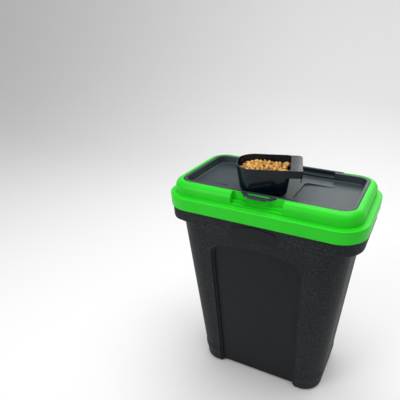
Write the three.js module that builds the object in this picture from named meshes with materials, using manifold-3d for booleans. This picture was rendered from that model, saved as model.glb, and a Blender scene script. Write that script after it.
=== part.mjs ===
// Pet food bin: a tapered tub, a lid frame pushed over its rim, a hinged flap with a latch loop,
// and a measuring scoop standing on the flap.
// Millimetres, +Z up, origin at the bottom centre, latch side towards -Y, hinge side towards +Y.

import * as THREE from 'three';
import { mergeVertices } from 'three/addons/utils/BufferGeometryUtils.js';
import Module from 'manifold-3d';

const wasm = await Module();
wasm.setup();

// ---------------------------------------------------------------- driving sizes

// Lid frame, measured over its skirt.
const LENGTH = 494;
const DEPTH = 280;
const CORNER_RADIUS = 66;
const SKIRT_HEIGHT = 31;
const LEDGE_WIDTH = 14.5;
const COLLAR_HEIGHT = 31.5;
const SHOULDER_RADIUS = 17.5;
const COLLAR_TOP_WIDTH = 2;
const FRAME_WALL = 2.5;
const FRAME_EDGE_ROUND = 2.8;
const SEAT_WIDTH = 11.7;
const SEAT_CLEARANCE = 1.7;

// Tub.
const SKIRT_BOTTOM_HEIGHT = 537.5;
const TUB_WALL = 3;
const TUB_CORNER_RADIUS = 70;
const TUB_END_INSET = 24;
const TUB_SIDE_INSET = 4;
const TUB_END_TAPER = 33;
const TUB_SIDE_TAPER = 30;
const BAND_HEIGHT = 35;
const BAND_INSET = 3;
const RIM_INSET = 3.5;
const RIM_LIP_HEIGHT = 10;
const RIM_WALL = 2.5;
const BAND_LEDGE_REACH = 44;
const GUSSET_CORNER_GAP = 2;
const GUSSET_THICKNESS = 2.5;
const FOOT_HEIGHT = 8;
const END_ARCH_HEIGHT = 6;
const FOOT_LENGTH = 69;
const FOOT_DEPTH = 52;
const BASE_LIP_HEIGHT = 60;
const BASE_LIP = 2;
const BASE_LIP_SLOPE = 13;

// Recessed panel on each long face, and the raised pad above the front one.
const PANEL_CORNER_MARGIN = 15;
const PANEL_TOP_HEIGHT = 461;
const PANEL_CROWN = 7;
const PANEL_CORNER_RADIUS = 46;
const PANEL_DEPTH = 10;
const PANEL_CHAMFER = 6;
const PAD_WIDTH = 114;
const PAD_TOP_HEIGHT = 521;
const PAD_CROWN = 9;
const PAD_HEIGHT = 34;
const PAD_RAISE = 1.6;
const PAD_ROOT = 1.5;

// Flap.
const FLAP_GAP = 1;
const FLAP_RIM_WIDTH = 8;
const FLAP_TRAY_DEPTH = 18;
const FLAP_WALL = 2.3;
const FLAP_TRAY_DRAFT = 3;
const FLAP_SKIRT_BELOW_TRAY = 3;
const BACK_WALL_WRAP = 20;
const SHELF_DROP = 12;
const SHELF_CLEARANCE = 1.2;

// Hinge.
const HINGE_CORNER_MARGIN = 41;
const HINGE_BACKSET = 9;
const HINGE_DROP = 4;
const KNUCKLE_RADIUS = 3.4;
const PIN_RADIUS = 1.6;
const PIN_LENGTH = 22;
const PIN_IN_EAR = 9;

// Latch loop on the flap and the recess under it.
const RECESS_WIDTH = 127;
const RECESS_FLOOR_DROP = 20;
const RECESS_STEP = 5;
const LOOP_BASE_WIDTH = 80;
const LOOP_TIP_WIDTH = 64;
const LOOP_REACH = 17;
const LOOP_THICKNESS = 2.5;
const LOOP_DROP = 0.8;
const SLOT_WIDTH = 53;
const SLOT_DEPTH = 7.5;
const SLOT_SETBACK = 1;
const CATCH_CLEARANCE = 0.5;
const LIP_WIDTH = 44;
const LIP_DROP = 6;

// Sloping pocket and small notch in the flap's tray floor.
const POCKET_START = 60;
const POCKET_LENGTH = 88;
const POCKET_BREADTH = 106;
const POCKET_SIDE = -4;
const POCKET_DEPTH = 4;
const NOTCH_START = -108;
const NOTCH_LENGTH = 48;
const NOTCH_BREADTH = 7;
const NOTCH_SIDE = -50;
const NOTCH_DEPTH = 1.2;

// Scoop.
const SCOOP_LENGTH = 126;
const SCOOP_DEPTH = 108;
const SCOOP_HEIGHT = 71;
const SCOOP_WALL = 2;
const SCOOP_DRAFT = 6;
const SCOOP_CORNER_RADIUS = 40;
const SCOOP_GRIP_CORNER_RADIUS = 12;
const SCOOP_BOTTOM_RADIUS = 26;
const SCOOP_TURN = 18.5;
const SCOOP_X = -15.7;
const SCOOP_FRONT_INSET = 2.6;
const GRIP_REACH = 25;
const GRIP_WIDTH = 106;
const GRIP_THICKNESS = 2.4;
const GRIP_FLANGE = 17;
const GRIP_RIB = 27;

// Seals.
const RIM_SEAL_WIDTH = 4;
const RIM_SEAL_HEIGHT = 1.9;
const RIM_SEAL_INSET = 8;
const FLAP_SEAL_WIDTH = 3.2;
const FLAP_SEAL_HEIGHT = 4.4;

// Gap left between pieces that touch, and the play of a pin in its bore.
const TOUCH = 0.3;
const PIN_PLAY = 0.3;

// Facets.
const CORNER_STEPS = 7;
const ARC_STEPS = 5;
const ROUND_STEPS = 20;

// ---------------------------------------------------------------- derived levels and outlines

const LEDGE_LEVEL = SKIRT_BOTTOM_HEIGHT + SKIRT_HEIGHT;
const TOP_LEVEL = LEDGE_LEVEL + COLLAR_HEIGHT;
const FLAP_SKIRT_HEIGHT = FLAP_TRAY_DEPTH + FLAP_SKIRT_BELOW_TRAY;
const SEAT_LEVEL = TOP_LEVEL - FLAP_SKIRT_HEIGHT - SEAT_CLEARANCE;
const BAND_LEVEL = SKIRT_BOTTOM_HEIGHT - TOUCH;
const FRAME_UNDERSIDE = LEDGE_LEVEL - FRAME_WALL;
const RIM_LEVEL = FRAME_UNDERSIDE - RIM_SEAL_HEIGHT - 2 * TOUCH;
const TRAY_LEVEL = TOP_LEVEL - FLAP_TRAY_DEPTH;
const COLLAR_INSET = LEDGE_WIDTH;
const COLLAR_INNER = COLLAR_INSET + SHOULDER_RADIUS + COLLAR_TOP_WIDTH;
const FLAP_INSET = COLLAR_INNER + FLAP_GAP;
const FLAP_BACK = DEPTH / 2 - FLAP_INSET;
const FLAP_FRONT = -FLAP_BACK;
const HINGE_Y = FLAP_BACK + HINGE_BACKSET;
const HINGE_Z = TOP_LEVEL - HINGE_DROP;
const HINGE_LENGTH = LENGTH - 2 * (CORNER_RADIUS + HINGE_CORNER_MARGIN);
const BACK_OPENING = HINGE_LENGTH - 2 * BACK_WALL_WRAP;
const SHELF_LEVEL = TOP_LEVEL - SHELF_DROP;
const BACK_CUT_LEVEL = SHELF_LEVEL - FLAP_WALL - SHELF_CLEARANCE;

const frameOutline = { halfX: LENGTH / 2, halfY: DEPTH / 2, radius: CORNER_RADIUS };
const tubTopOutline = {
  halfX: LENGTH / 2 - TUB_END_INSET,
  halfY: DEPTH / 2 - TUB_SIDE_INSET,
  radius: TUB_CORNER_RADIUS,
};

// ---------------------------------------------------------------- geometry helpers

// The outline moved inwards by a distance, its corners staying concentric. The two corners on the
// right may have a radius of their own.
function insetOutline(outline, distance) {
  return {
    halfX: outline.halfX - distance,
    halfY: outline.halfY - distance,
    radius: Math.max(outline.radius - distance, 2),
    rightRadius: outline.rightRadius && Math.max(outline.rightRadius - distance, 2),
  };
}

// One level of a rounded rectangle as points, anticlockwise seen from above.
function outlineRing(outline, level) {
  const ring = [];
  const corners = [[1, 1, 0], [-1, 1, 1], [-1, -1, 2], [1, -1, 3]];
  for (const [signX, signY, quarter] of corners) {
    const radius = (signX > 0 && outline.rightRadius) || outline.radius;
    const centreX = signX * (outline.halfX - radius);
    const centreY = signY * (outline.halfY - radius);
    for (let step = 0; step <= CORNER_STEPS; step += 1) {
      const angle = (quarter + step / CORNER_STEPS) * Math.PI / 2;
      const x = centreX + radius * Math.cos(angle);
      const y = centreY + radius * Math.sin(angle);
      ring.push(new THREE.Vector3(x, y, level));
    }
  }
  return ring;
}

// Rings joined one to the next. Closed: the last joins the first. Otherwise both ends are capped.
function skinRings(rings, closed) {
  const count = rings[0].length;
  const positions = rings.flat().flatMap((point) => [point.x, point.y, point.z]);
  const faces = [];
  const bands = closed ? rings.length : rings.length - 1;
  for (let band = 0; band < bands; band += 1) {
    const low = band * count;
    const high = ((band + 1) % rings.length) * count;
    for (let side = 0; side < count; side += 1) {
      const next = (side + 1) % count;
      faces.push(low + side, low + next, high + next, low + side, high + next, high + side);
    }
  }
  if (!closed) {
    for (const [ring, turned] of [[0, true], [rings.length - 1, false]]) {
      const centre = positions.length / 3;
      positions.push(0, 0, rings[ring][0].z);
      for (let side = 0; side < count; side += 1) {
        const first = ring * count + side;
        const second = ring * count + (side + 1) % count;
        faces.push(centre, ...(turned ? [second, first] : [first, second]));
      }
    }
  }
  const geometry = new THREE.BufferGeometry();
  geometry.setAttribute('position', new THREE.Float32BufferAttribute(positions, 3));
  geometry.setIndex(faces);
  return geometry;
}

// A ring with the given section, [inset, level] points anticlockwise when the inset is seen to the
// left: outside face upwards, top inwards, inside face downwards.
function sectionRing(outline, section) {
  return skinRings(section.map(([inset, level]) => outlineRing(insetOutline(outline, inset), level)), true);
}

// A solid stack of [inset, level] steps of one outline, bottom first.
function stackedSolid(outline, steps) {
  return skinRings(steps.map(([inset, level]) => outlineRing(insetOutline(outline, inset), level)), false);
}

function toSolid(geometry) {
  const bare = geometry.clone();
  bare.deleteAttribute('normal');
  bare.deleteAttribute('uv');
  const merged = mergeVertices(bare, 1e-4);
  const mesh = new wasm.Mesh({
    numProp: 3,
    vertProperties: new Float32Array(merged.attributes.position.array),
    triVerts: new Uint32Array(merged.index.array),
  });
  return new wasm.Manifold(mesh);
}

function toGeometry(solid) {
  const mesh = solid.getMesh();
  const geometry = new THREE.BufferGeometry();
  geometry.setAttribute('position', new THREE.BufferAttribute(mesh.vertProperties, 3));
  geometry.setIndex(new THREE.BufferAttribute(mesh.triVerts, 1));
  geometry.computeVertexNormals();
  return geometry;
}

// A box given by its lowest and highest corner.
function boxSolid(low, high) {
  const size = [high[0] - low[0], high[1] - low[1], high[2] - low[2]];
  const geometry = new THREE.BoxGeometry(size[0], size[1], size[2]);
  geometry.translate((low[0] + high[0]) / 2, (low[1] + high[1]) / 2, (low[2] + high[2]) / 2);
  return toSolid(geometry);
}

// A round bar along X.
function barSolid(radius, startX, endX, y, z) {
  const geometry = new THREE.CylinderGeometry(radius, radius, Math.abs(endX - startX), ROUND_STEPS);
  geometry.rotateZ(Math.PI / 2);
  geometry.translate((startX + endX) / 2, y, z);
  return toSolid(geometry);
}

// A quarter circle from the outer face up to the top, as [inset, level] points.
function shoulderArc(radius, centreInset, centreLevel) {
  const points = [];
  for (let step = 0; step <= ARC_STEPS; step += 1) {
    const angle = step / ARC_STEPS * Math.PI / 2;
    points.push([centreInset - radius * Math.cos(angle), centreLevel + radius * Math.sin(angle)]);
  }
  return points;
}

function mirroredInY(solid) {
  return solid.mirror([0, 1, 0]);
}

// ---------------------------------------------------------------- tub

// How far the tub's ends and sides have drawn in at a level, and its outline there.
function tubOutline(level, inset) {
  const drop = (RIM_LEVEL - level) / RIM_LEVEL;
  const outline = {
    halfX: tubTopOutline.halfX - TUB_END_TAPER * drop,
    halfY: tubTopOutline.halfY - TUB_SIDE_TAPER * drop,
    radius: tubTopOutline.radius - TUB_END_TAPER * drop * 0.5,
  };
  return insetOutline(outline, inset);
}

// A solid stack of [inset, level] steps that follow the tub's taper.
function tubStack(steps) {
  const rings = steps.map(([inset, level]) => outlineRing(tubOutline(level, inset), level));
  return toSolid(skinRings(rings, false));
}

function tubOuter() {
  const lipStart = BASE_LIP_HEIGHT - BASE_LIP_SLOPE;
  const steps = [
    [9, 0], [4, 2], [1, 7], [0, lipStart - 11], [-BASE_LIP, lipStart - 1],
    [-BASE_LIP, BASE_LIP_HEIGHT - 1], [0, BASE_LIP_HEIGHT + 1], [0, RIM_LEVEL],
  ];
  return tubStack(steps);
}

function tubInner() {
  const floor = FOOT_HEIGHT + TUB_WALL;
  const steps = [
    [TUB_WALL + 9, floor], [TUB_WALL + 2.5, floor + 3], [TUB_WALL, floor + 9],
    [TUB_WALL, RIM_LEVEL + 10],
  ];
  return tubStack(steps);
}

// The arch-topped panel outline in the face's own plane, made larger by a margin.
function panelShape(margin) {
  const half = panelHalfWidth() + margin;
  const top = PANEL_TOP_HEIGHT + margin;
  const radius = PANEL_CORNER_RADIUS + margin;
  const shape = new THREE.Shape();
  shape.moveTo(-half, -BASE_LIP_HEIGHT);
  shape.lineTo(half, -BASE_LIP_HEIGHT);
  shape.lineTo(half, top - radius);
  shape.quadraticCurveTo(half, top, half - radius, top);
  shape.quadraticCurveTo(0, top + 2 * PANEL_CROWN, -(half - radius), top);
  shape.quadraticCurveTo(-half, top, -half, top - radius);
  return shape;
}

// The angle that the long faces lean in by, and a cutter standing on the front face.
const SIDE_LEAN = Math.atan(TUB_SIDE_TAPER / RIM_LEVEL);

function frontFaceY(level) {
  return -tubOutline(level, 0).halfY;
}

function panelHalfWidth() {
  const base = tubOutline(0, 0);
  return base.halfX - base.radius - PANEL_CORNER_MARGIN;
}

function panelCutter(margin) {
  const depth = PANEL_DEPTH + margin;
  const geometry = new THREE.ExtrudeGeometry(panelShape(margin), {
    depth: 30,
    bevelEnabled: true,
    bevelThickness: depth,
    bevelSize: PANEL_CHAMFER,
    bevelOffset: -PANEL_CHAMFER,
    bevelSegments: 1,
    curveSegments: 8,
  });
  geometry.rotateX(Math.PI / 2 + SIDE_LEAN);
  geometry.translate(0, frontFaceY(0), 0);
  return toSolid(geometry);
}

function frontPad() {
  const half = PAD_WIDTH / 2;
  const shape = new THREE.Shape();
  shape.moveTo(-half, PAD_TOP_HEIGHT - PAD_HEIGHT);
  shape.lineTo(half, PAD_TOP_HEIGHT - PAD_HEIGHT);
  shape.lineTo(half, PAD_TOP_HEIGHT);
  shape.quadraticCurveTo(0, PAD_TOP_HEIGHT + 2 * PAD_CROWN, -half, PAD_TOP_HEIGHT);
  const geometry = new THREE.ExtrudeGeometry(shape, {
    depth: PAD_RAISE + PAD_ROOT,
    bevelEnabled: false,
    curveSegments: 8,
  });
  geometry.translate(0, -(PAD_TOP_HEIGHT - PAD_HEIGHT), -PAD_ROOT);
  geometry.rotateX(Math.PI / 2 + Math.atan(PAD_RAISE / PAD_HEIGHT) + SIDE_LEAN);
  geometry.translate(0, frontFaceY(PAD_TOP_HEIGHT - PAD_HEIGHT) + PAD_RAISE, PAD_TOP_HEIGHT - PAD_HEIGHT);
  return toSolid(geometry);
}

function shoulderBand() {
  const low = BAND_LEVEL - BAND_HEIGHT;
  const inner = BAND_INSET + TUB_WALL;
  const section = [
    [inner + 3, low + 1.5], [inner, low], [BAND_INSET + 1.5, low + 2.5], [BAND_INSET, low + 7],
    [BAND_INSET, BAND_LEVEL - 1], [BAND_INSET + 1, BAND_LEVEL], [BAND_LEDGE_REACH, BAND_LEVEL],
    [BAND_LEDGE_REACH, BAND_LEVEL - TUB_WALL], [inner, BAND_LEVEL - TUB_WALL], [inner, low + 7],
  ];
  return toSolid(sectionRing(frameOutline, section));
}

function rolledRim() {
  const low = RIM_LEVEL - RIM_LIP_HEIGHT;
  const inner = RIM_INSET + RIM_WALL;
  const section = [
    [inner, low], [RIM_INSET, low], [RIM_INSET, RIM_LEVEL - 1.2], [RIM_INSET + 1.2, RIM_LEVEL],
    [BAND_LEDGE_REACH, RIM_LEVEL], [BAND_LEDGE_REACH, RIM_LEVEL - RIM_WALL], [inner, RIM_LEVEL - RIM_WALL],
  ];
  return toSolid(sectionRing(frameOutline, section));
}

function endGussets() {
  const outer = LENGTH / 2 - RIM_INSET - RIM_WALL - 0.5;
  const inner = tubTopOutline.halfX - TUB_WALL - 8;
  let gussets = null;
  for (const end of [-1, 1]) {
    for (const side of [-1, 1]) {
      const y = side * (DEPTH / 2 - CORNER_RADIUS - GUSSET_CORNER_GAP);
      const half = GUSSET_THICKNESS / 2;
      const xs = [end * inner, end * outer].sort((a, b) => a - b);
      const gusset = boxSolid([xs[0], y - half, BAND_LEVEL - 1], [xs[1], y + half, RIM_LEVEL - 1]);
      gussets = gussets ? gussets.add(gusset) : gusset;
    }
  }
  return gussets;
}

// The space under the floor between the feet.
function footArches() {
  const spanX = tubOutline(0, 0).halfX - FOOT_LENGTH;
  const spanY = tubOutline(0, 0).halfY - FOOT_DEPTH;
  const alongDepth = boxSolid([-spanX, -DEPTH, -5], [spanX, DEPTH, FOOT_HEIGHT]);
  const alongLength = boxSolid([-LENGTH, -spanY, -5], [LENGTH, spanY, END_ARCH_HEIGHT]);
  return alongDepth.add(alongLength);
}

function binBody() {
  const frontPanel = panelCutter(0);
  const frontPanelInside = panelCutter(TUB_WALL);
  const cavity = tubInner().subtract(frontPanelInside).subtract(mirroredInY(frontPanelInside));
  let tub = tubOuter().subtract(frontPanel).subtract(mirroredInY(frontPanel));
  tub = tub.add(frontPad()).add(shoulderBand()).add(rolledRim()).add(endGussets());
  return toGeometry(tub.subtract(footArches()).subtract(cavity));
}

// ---------------------------------------------------------------- lid frame

// The frame's outer form without its hollow.
function frameForm() {
  const shoulder = shoulderArc(SHOULDER_RADIUS, COLLAR_INSET + SHOULDER_RADIUS, TOP_LEVEL - SHOULDER_RADIUS);
  const section = [
    [FRAME_WALL, SKIRT_BOTTOM_HEIGHT], [0, SKIRT_BOTTOM_HEIGHT], [0, LEDGE_LEVEL - FRAME_EDGE_ROUND],
    [0.3 * FRAME_EDGE_ROUND, LEDGE_LEVEL - 0.3 * FRAME_EDGE_ROUND], [FRAME_EDGE_ROUND, LEDGE_LEVEL],
    [COLLAR_INSET - 1.2, LEDGE_LEVEL],
    [COLLAR_INSET, LEDGE_LEVEL + 1.2], ...shoulder, [COLLAR_INNER, TOP_LEVEL],
    [COLLAR_INNER, SEAT_LEVEL], [COLLAR_INNER + SEAT_WIDTH, SEAT_LEVEL],
    [COLLAR_INNER + SEAT_WIDTH, SEAT_LEVEL - FRAME_WALL],
    [COLLAR_INNER - FRAME_WALL, SEAT_LEVEL - FRAME_WALL], [COLLAR_INNER - FRAME_WALL, FRAME_UNDERSIDE],
    [FRAME_WALL, FRAME_UNDERSIDE],
  ];
  return toSolid(sectionRing(frameOutline, section));
}

// The space inside the collar, open below.
function frameHollow() {
  const outer = COLLAR_INSET + FRAME_WALL;
  const centreInset = COLLAR_INSET + SHOULDER_RADIUS;
  const shoulder = shoulderArc(SHOULDER_RADIUS - FRAME_WALL, centreInset, TOP_LEVEL - SHOULDER_RADIUS);
  const inner = COLLAR_INNER - FRAME_WALL;
  const section = [
    [inner, FRAME_UNDERSIDE - 2], [outer, FRAME_UNDERSIDE - 2], ...shoulder,
    [inner, TOP_LEVEL - FRAME_WALL - 0.4],
  ];
  return toSolid(sectionRing(frameOutline, section));
}

// The finger recess under the latch loop: a floor and one lower step, grown by the wall for the hollow.
function latchRecess(margin) {
  const half = RECESS_WIDTH / 2 + margin;
  const floor = TOP_LEVEL - RECESS_FLOOR_DROP - margin;
  const back = -DEPTH / 2 + COLLAR_INNER - FRAME_WALL + margin;
  const stepY = -DEPTH / 2 + COLLAR_INSET + 8 + margin;
  const upper = boxSolid([-half, -DEPTH, floor], [half, back, TOP_LEVEL + 5]);
  const lower = boxSolid([-half, -DEPTH, floor - RECESS_STEP], [half, stepY, TOP_LEVEL + 5]);
  return upper.add(lower);
}

// Where the loop crosses the collar's inner wall. Inside the loop's slot the wall stays up as a catch.
function loopGate() {
  const half = LOOP_BASE_WIDTH / 2 + 3;
  const level = TOP_LEVEL - LOOP_DROP - LOOP_THICKNESS - 1;
  const front = -DEPTH / 2 + COLLAR_INNER - FRAME_WALL - 5;
  const gate = boxSolid([-half, front, level], [half, FLAP_FRONT + 2, TOP_LEVEL + 5]);
  const catchHalf = SLOT_WIDTH / 2 - CATCH_CLEARANCE;
  const catchBack = FLAP_FRONT - SLOT_SETBACK - CATCH_CLEARANCE;
  const catchTop = TOP_LEVEL - LOOP_DROP - CATCH_CLEARANCE;
  return gate.subtract(boxSolid([-catchHalf, front - 1, level - 1], [catchHalf, catchBack, catchTop]));
}

// The collar is cut down between the two ears for the flap's back edge.
function hingeCut(margin) {
  const half = HINGE_LENGTH / 2 + 0.5 + margin;
  return boxSolid([-half, FLAP_BACK - 3, BACK_CUT_LEVEL - margin], [half, DEPTH, TOP_LEVEL + 5]);
}

// A boss inside each ear that holds the outer end of its hinge pin.
function earBosses() {
  const start = HINGE_LENGTH / 2 + 1.2;
  const end = start + PIN_IN_EAR + 2.5;
  const radius = PIN_RADIUS + PIN_PLAY + 2;
  const right = barSolid(radius, start, end, HINGE_Y, HINGE_Z);
  const rightWeb = boxSolid([start, HINGE_Y - 1, HINGE_Z], [end, HINGE_Y + 1, TOP_LEVEL - 3.6]);
  const left = barSolid(radius, -end, -start, HINGE_Y, HINGE_Z);
  const leftWeb = boxSolid([-end, HINGE_Y - 1, HINGE_Z], [-start, HINGE_Y + 1, TOP_LEVEL - 3.6]);
  return right.add(rightWeb).add(left).add(leftWeb);
}

function earBores() {
  const start = HINGE_LENGTH / 2 - 1;
  const end = HINGE_LENGTH / 2 + 0.5 + PIN_IN_EAR;
  const right = barSolid(PIN_RADIUS + PIN_PLAY, start, end, HINGE_Y, HINGE_Z);
  return right.add(barSolid(PIN_RADIUS + PIN_PLAY, -end, -start, HINGE_Y, HINGE_Z));
}

function lidFrame() {
  const cuts = latchRecess(FRAME_WALL).add(hingeCut(FRAME_WALL)).add(earBosses());
  const hollow = frameHollow().subtract(cuts);
  const form = frameForm().subtract(latchRecess(0)).subtract(loopGate()).subtract(hingeCut(0));
  return toGeometry(form.subtract(hollow).subtract(earBores()));
}

// ---------------------------------------------------------------- flap

const flapOutline = insetOutline(frameOutline, FLAP_INSET);

function flapForm() {
  const bottom = TOP_LEVEL - FLAP_SKIRT_HEIGHT;
  return toSolid(stackedSolid(flapOutline, [[0, bottom], [0, TOP_LEVEL - 1], [0.8, TOP_LEVEL]]));
}

function flapTray() {
  const wall = FLAP_RIM_WIDTH + FLAP_TRAY_DRAFT;
  const steps = [
    [wall + 2, TRAY_LEVEL], [wall, TRAY_LEVEL + 2], [FLAP_RIM_WIDTH, TOP_LEVEL],
    [FLAP_RIM_WIDTH, TOP_LEVEL + 3],
  ];
  return toSolid(stackedSolid(flapOutline, steps));
}

// The channel under the rim, and the space under the tray floor.
function flapUnderside() {
  const low = TOP_LEVEL - FLAP_SKIRT_HEIGHT - 2;
  const inner = FLAP_RIM_WIDTH + FLAP_TRAY_DRAFT - FLAP_WALL + 1;
  const channel = sectionRing(flapOutline, [
    [inner, low], [FLAP_WALL, low], [FLAP_WALL, TOP_LEVEL - FLAP_WALL],
    [FLAP_RIM_WIDTH - FLAP_WALL, TOP_LEVEL - FLAP_WALL], [inner - 1, TRAY_LEVEL],
  ]);
  return toSolid(channel).add(boxSolid([-LENGTH, -DEPTH, low], [LENGTH, DEPTH, TRAY_LEVEL - FLAP_WALL])
    .intersect(toSolid(stackedSolid(flapOutline, [[inner, low], [inner, TRAY_LEVEL]]))));
}

// A wedge that deepens from nothing at its far end to its full depth at its start.
function wedgeSolid(start, length, sideLow, sideHigh, depth, level, rise) {
  const shape = new THREE.Shape();
  shape.moveTo(start, level + rise);
  shape.lineTo(start, level - depth);
  shape.lineTo(start + length, level);
  shape.lineTo(start + length, level + rise);
  const geometry = new THREE.ExtrudeGeometry(shape, { depth: sideHigh - sideLow, bevelEnabled: false });
  geometry.rotateX(Math.PI / 2);
  geometry.translate(0, sideHigh, 0);
  return toSolid(geometry);
}

function pocketOutside() {
  const low = POCKET_SIDE - POCKET_BREADTH / 2 - FLAP_WALL;
  const high = POCKET_SIDE + POCKET_BREADTH / 2 + FLAP_WALL;
  const length = POCKET_LENGTH + FLAP_WALL;
  return wedgeSolid(POCKET_START - FLAP_WALL, length, low, high, POCKET_DEPTH, TRAY_LEVEL - FLAP_WALL, 1);
}

function pocketInside() {
  const low = POCKET_SIDE - POCKET_BREADTH / 2;
  return wedgeSolid(POCKET_START, POCKET_LENGTH, low, low + POCKET_BREADTH, POCKET_DEPTH, TRAY_LEVEL, 1);
}

function floorNotch() {
  const low = NOTCH_SIDE - NOTCH_BREADTH / 2;
  return wedgeSolid(NOTCH_START, -NOTCH_LENGTH, low, low + NOTCH_BREADTH, NOTCH_DEPTH, TRAY_LEVEL, 1);
}

// The loop that a finger pulls, with its down-turned lip.
function latchLoop() {
  const top = TOP_LEVEL - LOOP_DROP;
  const root = FLAP_FRONT + FLAP_WALL / 2;
  const tip = FLAP_FRONT - LOOP_REACH;
  const shape = new THREE.Shape();
  shape.moveTo(-LOOP_BASE_WIDTH / 2, root);
  shape.lineTo(-LOOP_BASE_WIDTH / 2, FLAP_FRONT - 2);
  shape.lineTo(-LOOP_TIP_WIDTH / 2, tip);
  shape.lineTo(LOOP_TIP_WIDTH / 2, tip);
  shape.lineTo(LOOP_BASE_WIDTH / 2, FLAP_FRONT - 2);
  shape.lineTo(LOOP_BASE_WIDTH / 2, root);
  const slot = new THREE.Path();
  const slotFront = FLAP_FRONT - SLOT_SETBACK - SLOT_DEPTH;
  slot.moveTo(-SLOT_WIDTH / 2, slotFront);
  slot.lineTo(-SLOT_WIDTH / 2, slotFront + SLOT_DEPTH);
  slot.lineTo(SLOT_WIDTH / 2, slotFront + SLOT_DEPTH);
  slot.lineTo(SLOT_WIDTH / 2, slotFront);
  shape.holes.push(slot);
  const plate = new THREE.ExtrudeGeometry(shape, { depth: LOOP_THICKNESS, bevelEnabled: false });
  plate.translate(0, 0, top - LOOP_THICKNESS);
  const lipHalf = LIP_WIDTH / 2;
  const lip = boxSolid([-lipHalf, tip, top - LIP_DROP], [lipHalf, tip + FLAP_WALL, top - 0.5]);
  return toSolid(plate).add(lip);
}

// Between the ears the tray's back wall drops to a shelf, with a web that carries the hinge knuckle.
function backEdge() {
  const half = HINGE_LENGTH / 2 - TOUCH;
  const inner = FLAP_BACK - FLAP_RIM_WIDTH - FLAP_TRAY_DRAFT;
  const back = HINGE_Y + FLAP_WALL / 2;
  const shelf = boxSolid([-half, inner, SHELF_LEVEL - FLAP_WALL], [half, back, SHELF_LEVEL]);
  const web = boxSolid([-half, HINGE_Y - FLAP_WALL / 2, SHELF_LEVEL - 1], [half, back, HINGE_Z]);
  return shelf.add(web).add(barSolid(KNUCKLE_RADIUS, -half, half, HINGE_Y, HINGE_Z));
}

function backOpening() {
  const half = BACK_OPENING / 2;
  const inner = FLAP_BACK - FLAP_RIM_WIDTH - FLAP_TRAY_DRAFT - 1;
  return boxSolid([-half, inner, SHELF_LEVEL], [half, FLAP_BACK + 1, TOP_LEVEL + 5]);
}

function knuckleBores() {
  const outer = HINGE_LENGTH / 2;
  const inner = outer - (PIN_LENGTH - PIN_IN_EAR) - TOUCH;
  const right = barSolid(PIN_RADIUS + PIN_PLAY, inner, outer + 1, HINGE_Y, HINGE_Z);
  return right.add(barSolid(PIN_RADIUS + PIN_PLAY, -outer - 1, -inner, HINGE_Y, HINGE_Z));
}

function flap() {
  let body = flapForm().subtract(flapTray()).subtract(flapUnderside());
  body = body.add(pocketOutside()).subtract(pocketInside()).subtract(floorNotch());
  body = body.subtract(backOpening()).add(backEdge()).add(latchLoop());
  return toGeometry(body.subtract(knuckleBores()));
}

function hingePin(side) {
  const inner = HINGE_LENGTH / 2 - (PIN_LENGTH - PIN_IN_EAR);
  const geometry = new THREE.CylinderGeometry(PIN_RADIUS, PIN_RADIUS, PIN_LENGTH, ROUND_STEPS);
  geometry.rotateZ(Math.PI / 2);
  geometry.translate(side * (inner + PIN_LENGTH / 2), HINGE_Y, HINGE_Z);
  return geometry;
}

// ---------------------------------------------------------------- seals

function rimSeal() {
  const low = RIM_LEVEL + TOUCH;
  const high = low + RIM_SEAL_HEIGHT;
  const outer = RIM_SEAL_INSET;
  const inner = outer + RIM_SEAL_WIDTH;
  return sectionRing(frameOutline, [[inner, low], [outer, low], [outer, high], [inner, high]]);
}

function flapSeal() {
  const low = SEAT_LEVEL + TOUCH;
  const outer = FLAP_WALL + TOUCH;
  const inner = outer + FLAP_SEAL_WIDTH;
  return sectionRing(flapOutline, [
    [inner, low], [outer, low], [outer, low + FLAP_SEAL_HEIGHT], [inner, low + FLAP_SEAL_HEIGHT],
  ]);
}

// ---------------------------------------------------------------- scoop

const scoopOutline = {
  halfX: SCOOP_LENGTH / 2,
  halfY: SCOOP_DEPTH / 2,
  radius: SCOOP_CORNER_RADIUS,
  rightRadius: SCOOP_GRIP_CORNER_RADIUS,
};

// How far the turned cup reaches from its centre towards the front.
function scoopReach() {
  const turn = THREE.MathUtils.degToRad(SCOOP_TURN);
  const straightX = scoopOutline.halfX - scoopOutline.radius;
  const straightY = scoopOutline.halfY - scoopOutline.radius;
  return straightX * Math.sin(turn) + straightY * Math.cos(turn) + scoopOutline.radius;
}

// The cup's form: a rounded bottom, then walls leaning out to the rim.
function scoopForm(margin, top) {
  const steps = [];
  const radius = SCOOP_BOTTOM_RADIUS - margin;
  for (let step = 0; step <= ARC_STEPS; step += 1) {
    const angle = (0.12 + 0.88 * step / ARC_STEPS) * Math.PI / 2;
    const inset = SCOOP_DRAFT + margin + radius * (1 - Math.sin(angle));
    steps.push([inset, margin + radius * (1 - Math.cos(angle))]);
  }
  steps[0][1] = margin;
  steps.push([margin, SCOOP_HEIGHT - 1]);
  steps.push([margin, top]);
  return toSolid(stackedSolid(scoopOutline, steps));
}

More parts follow.
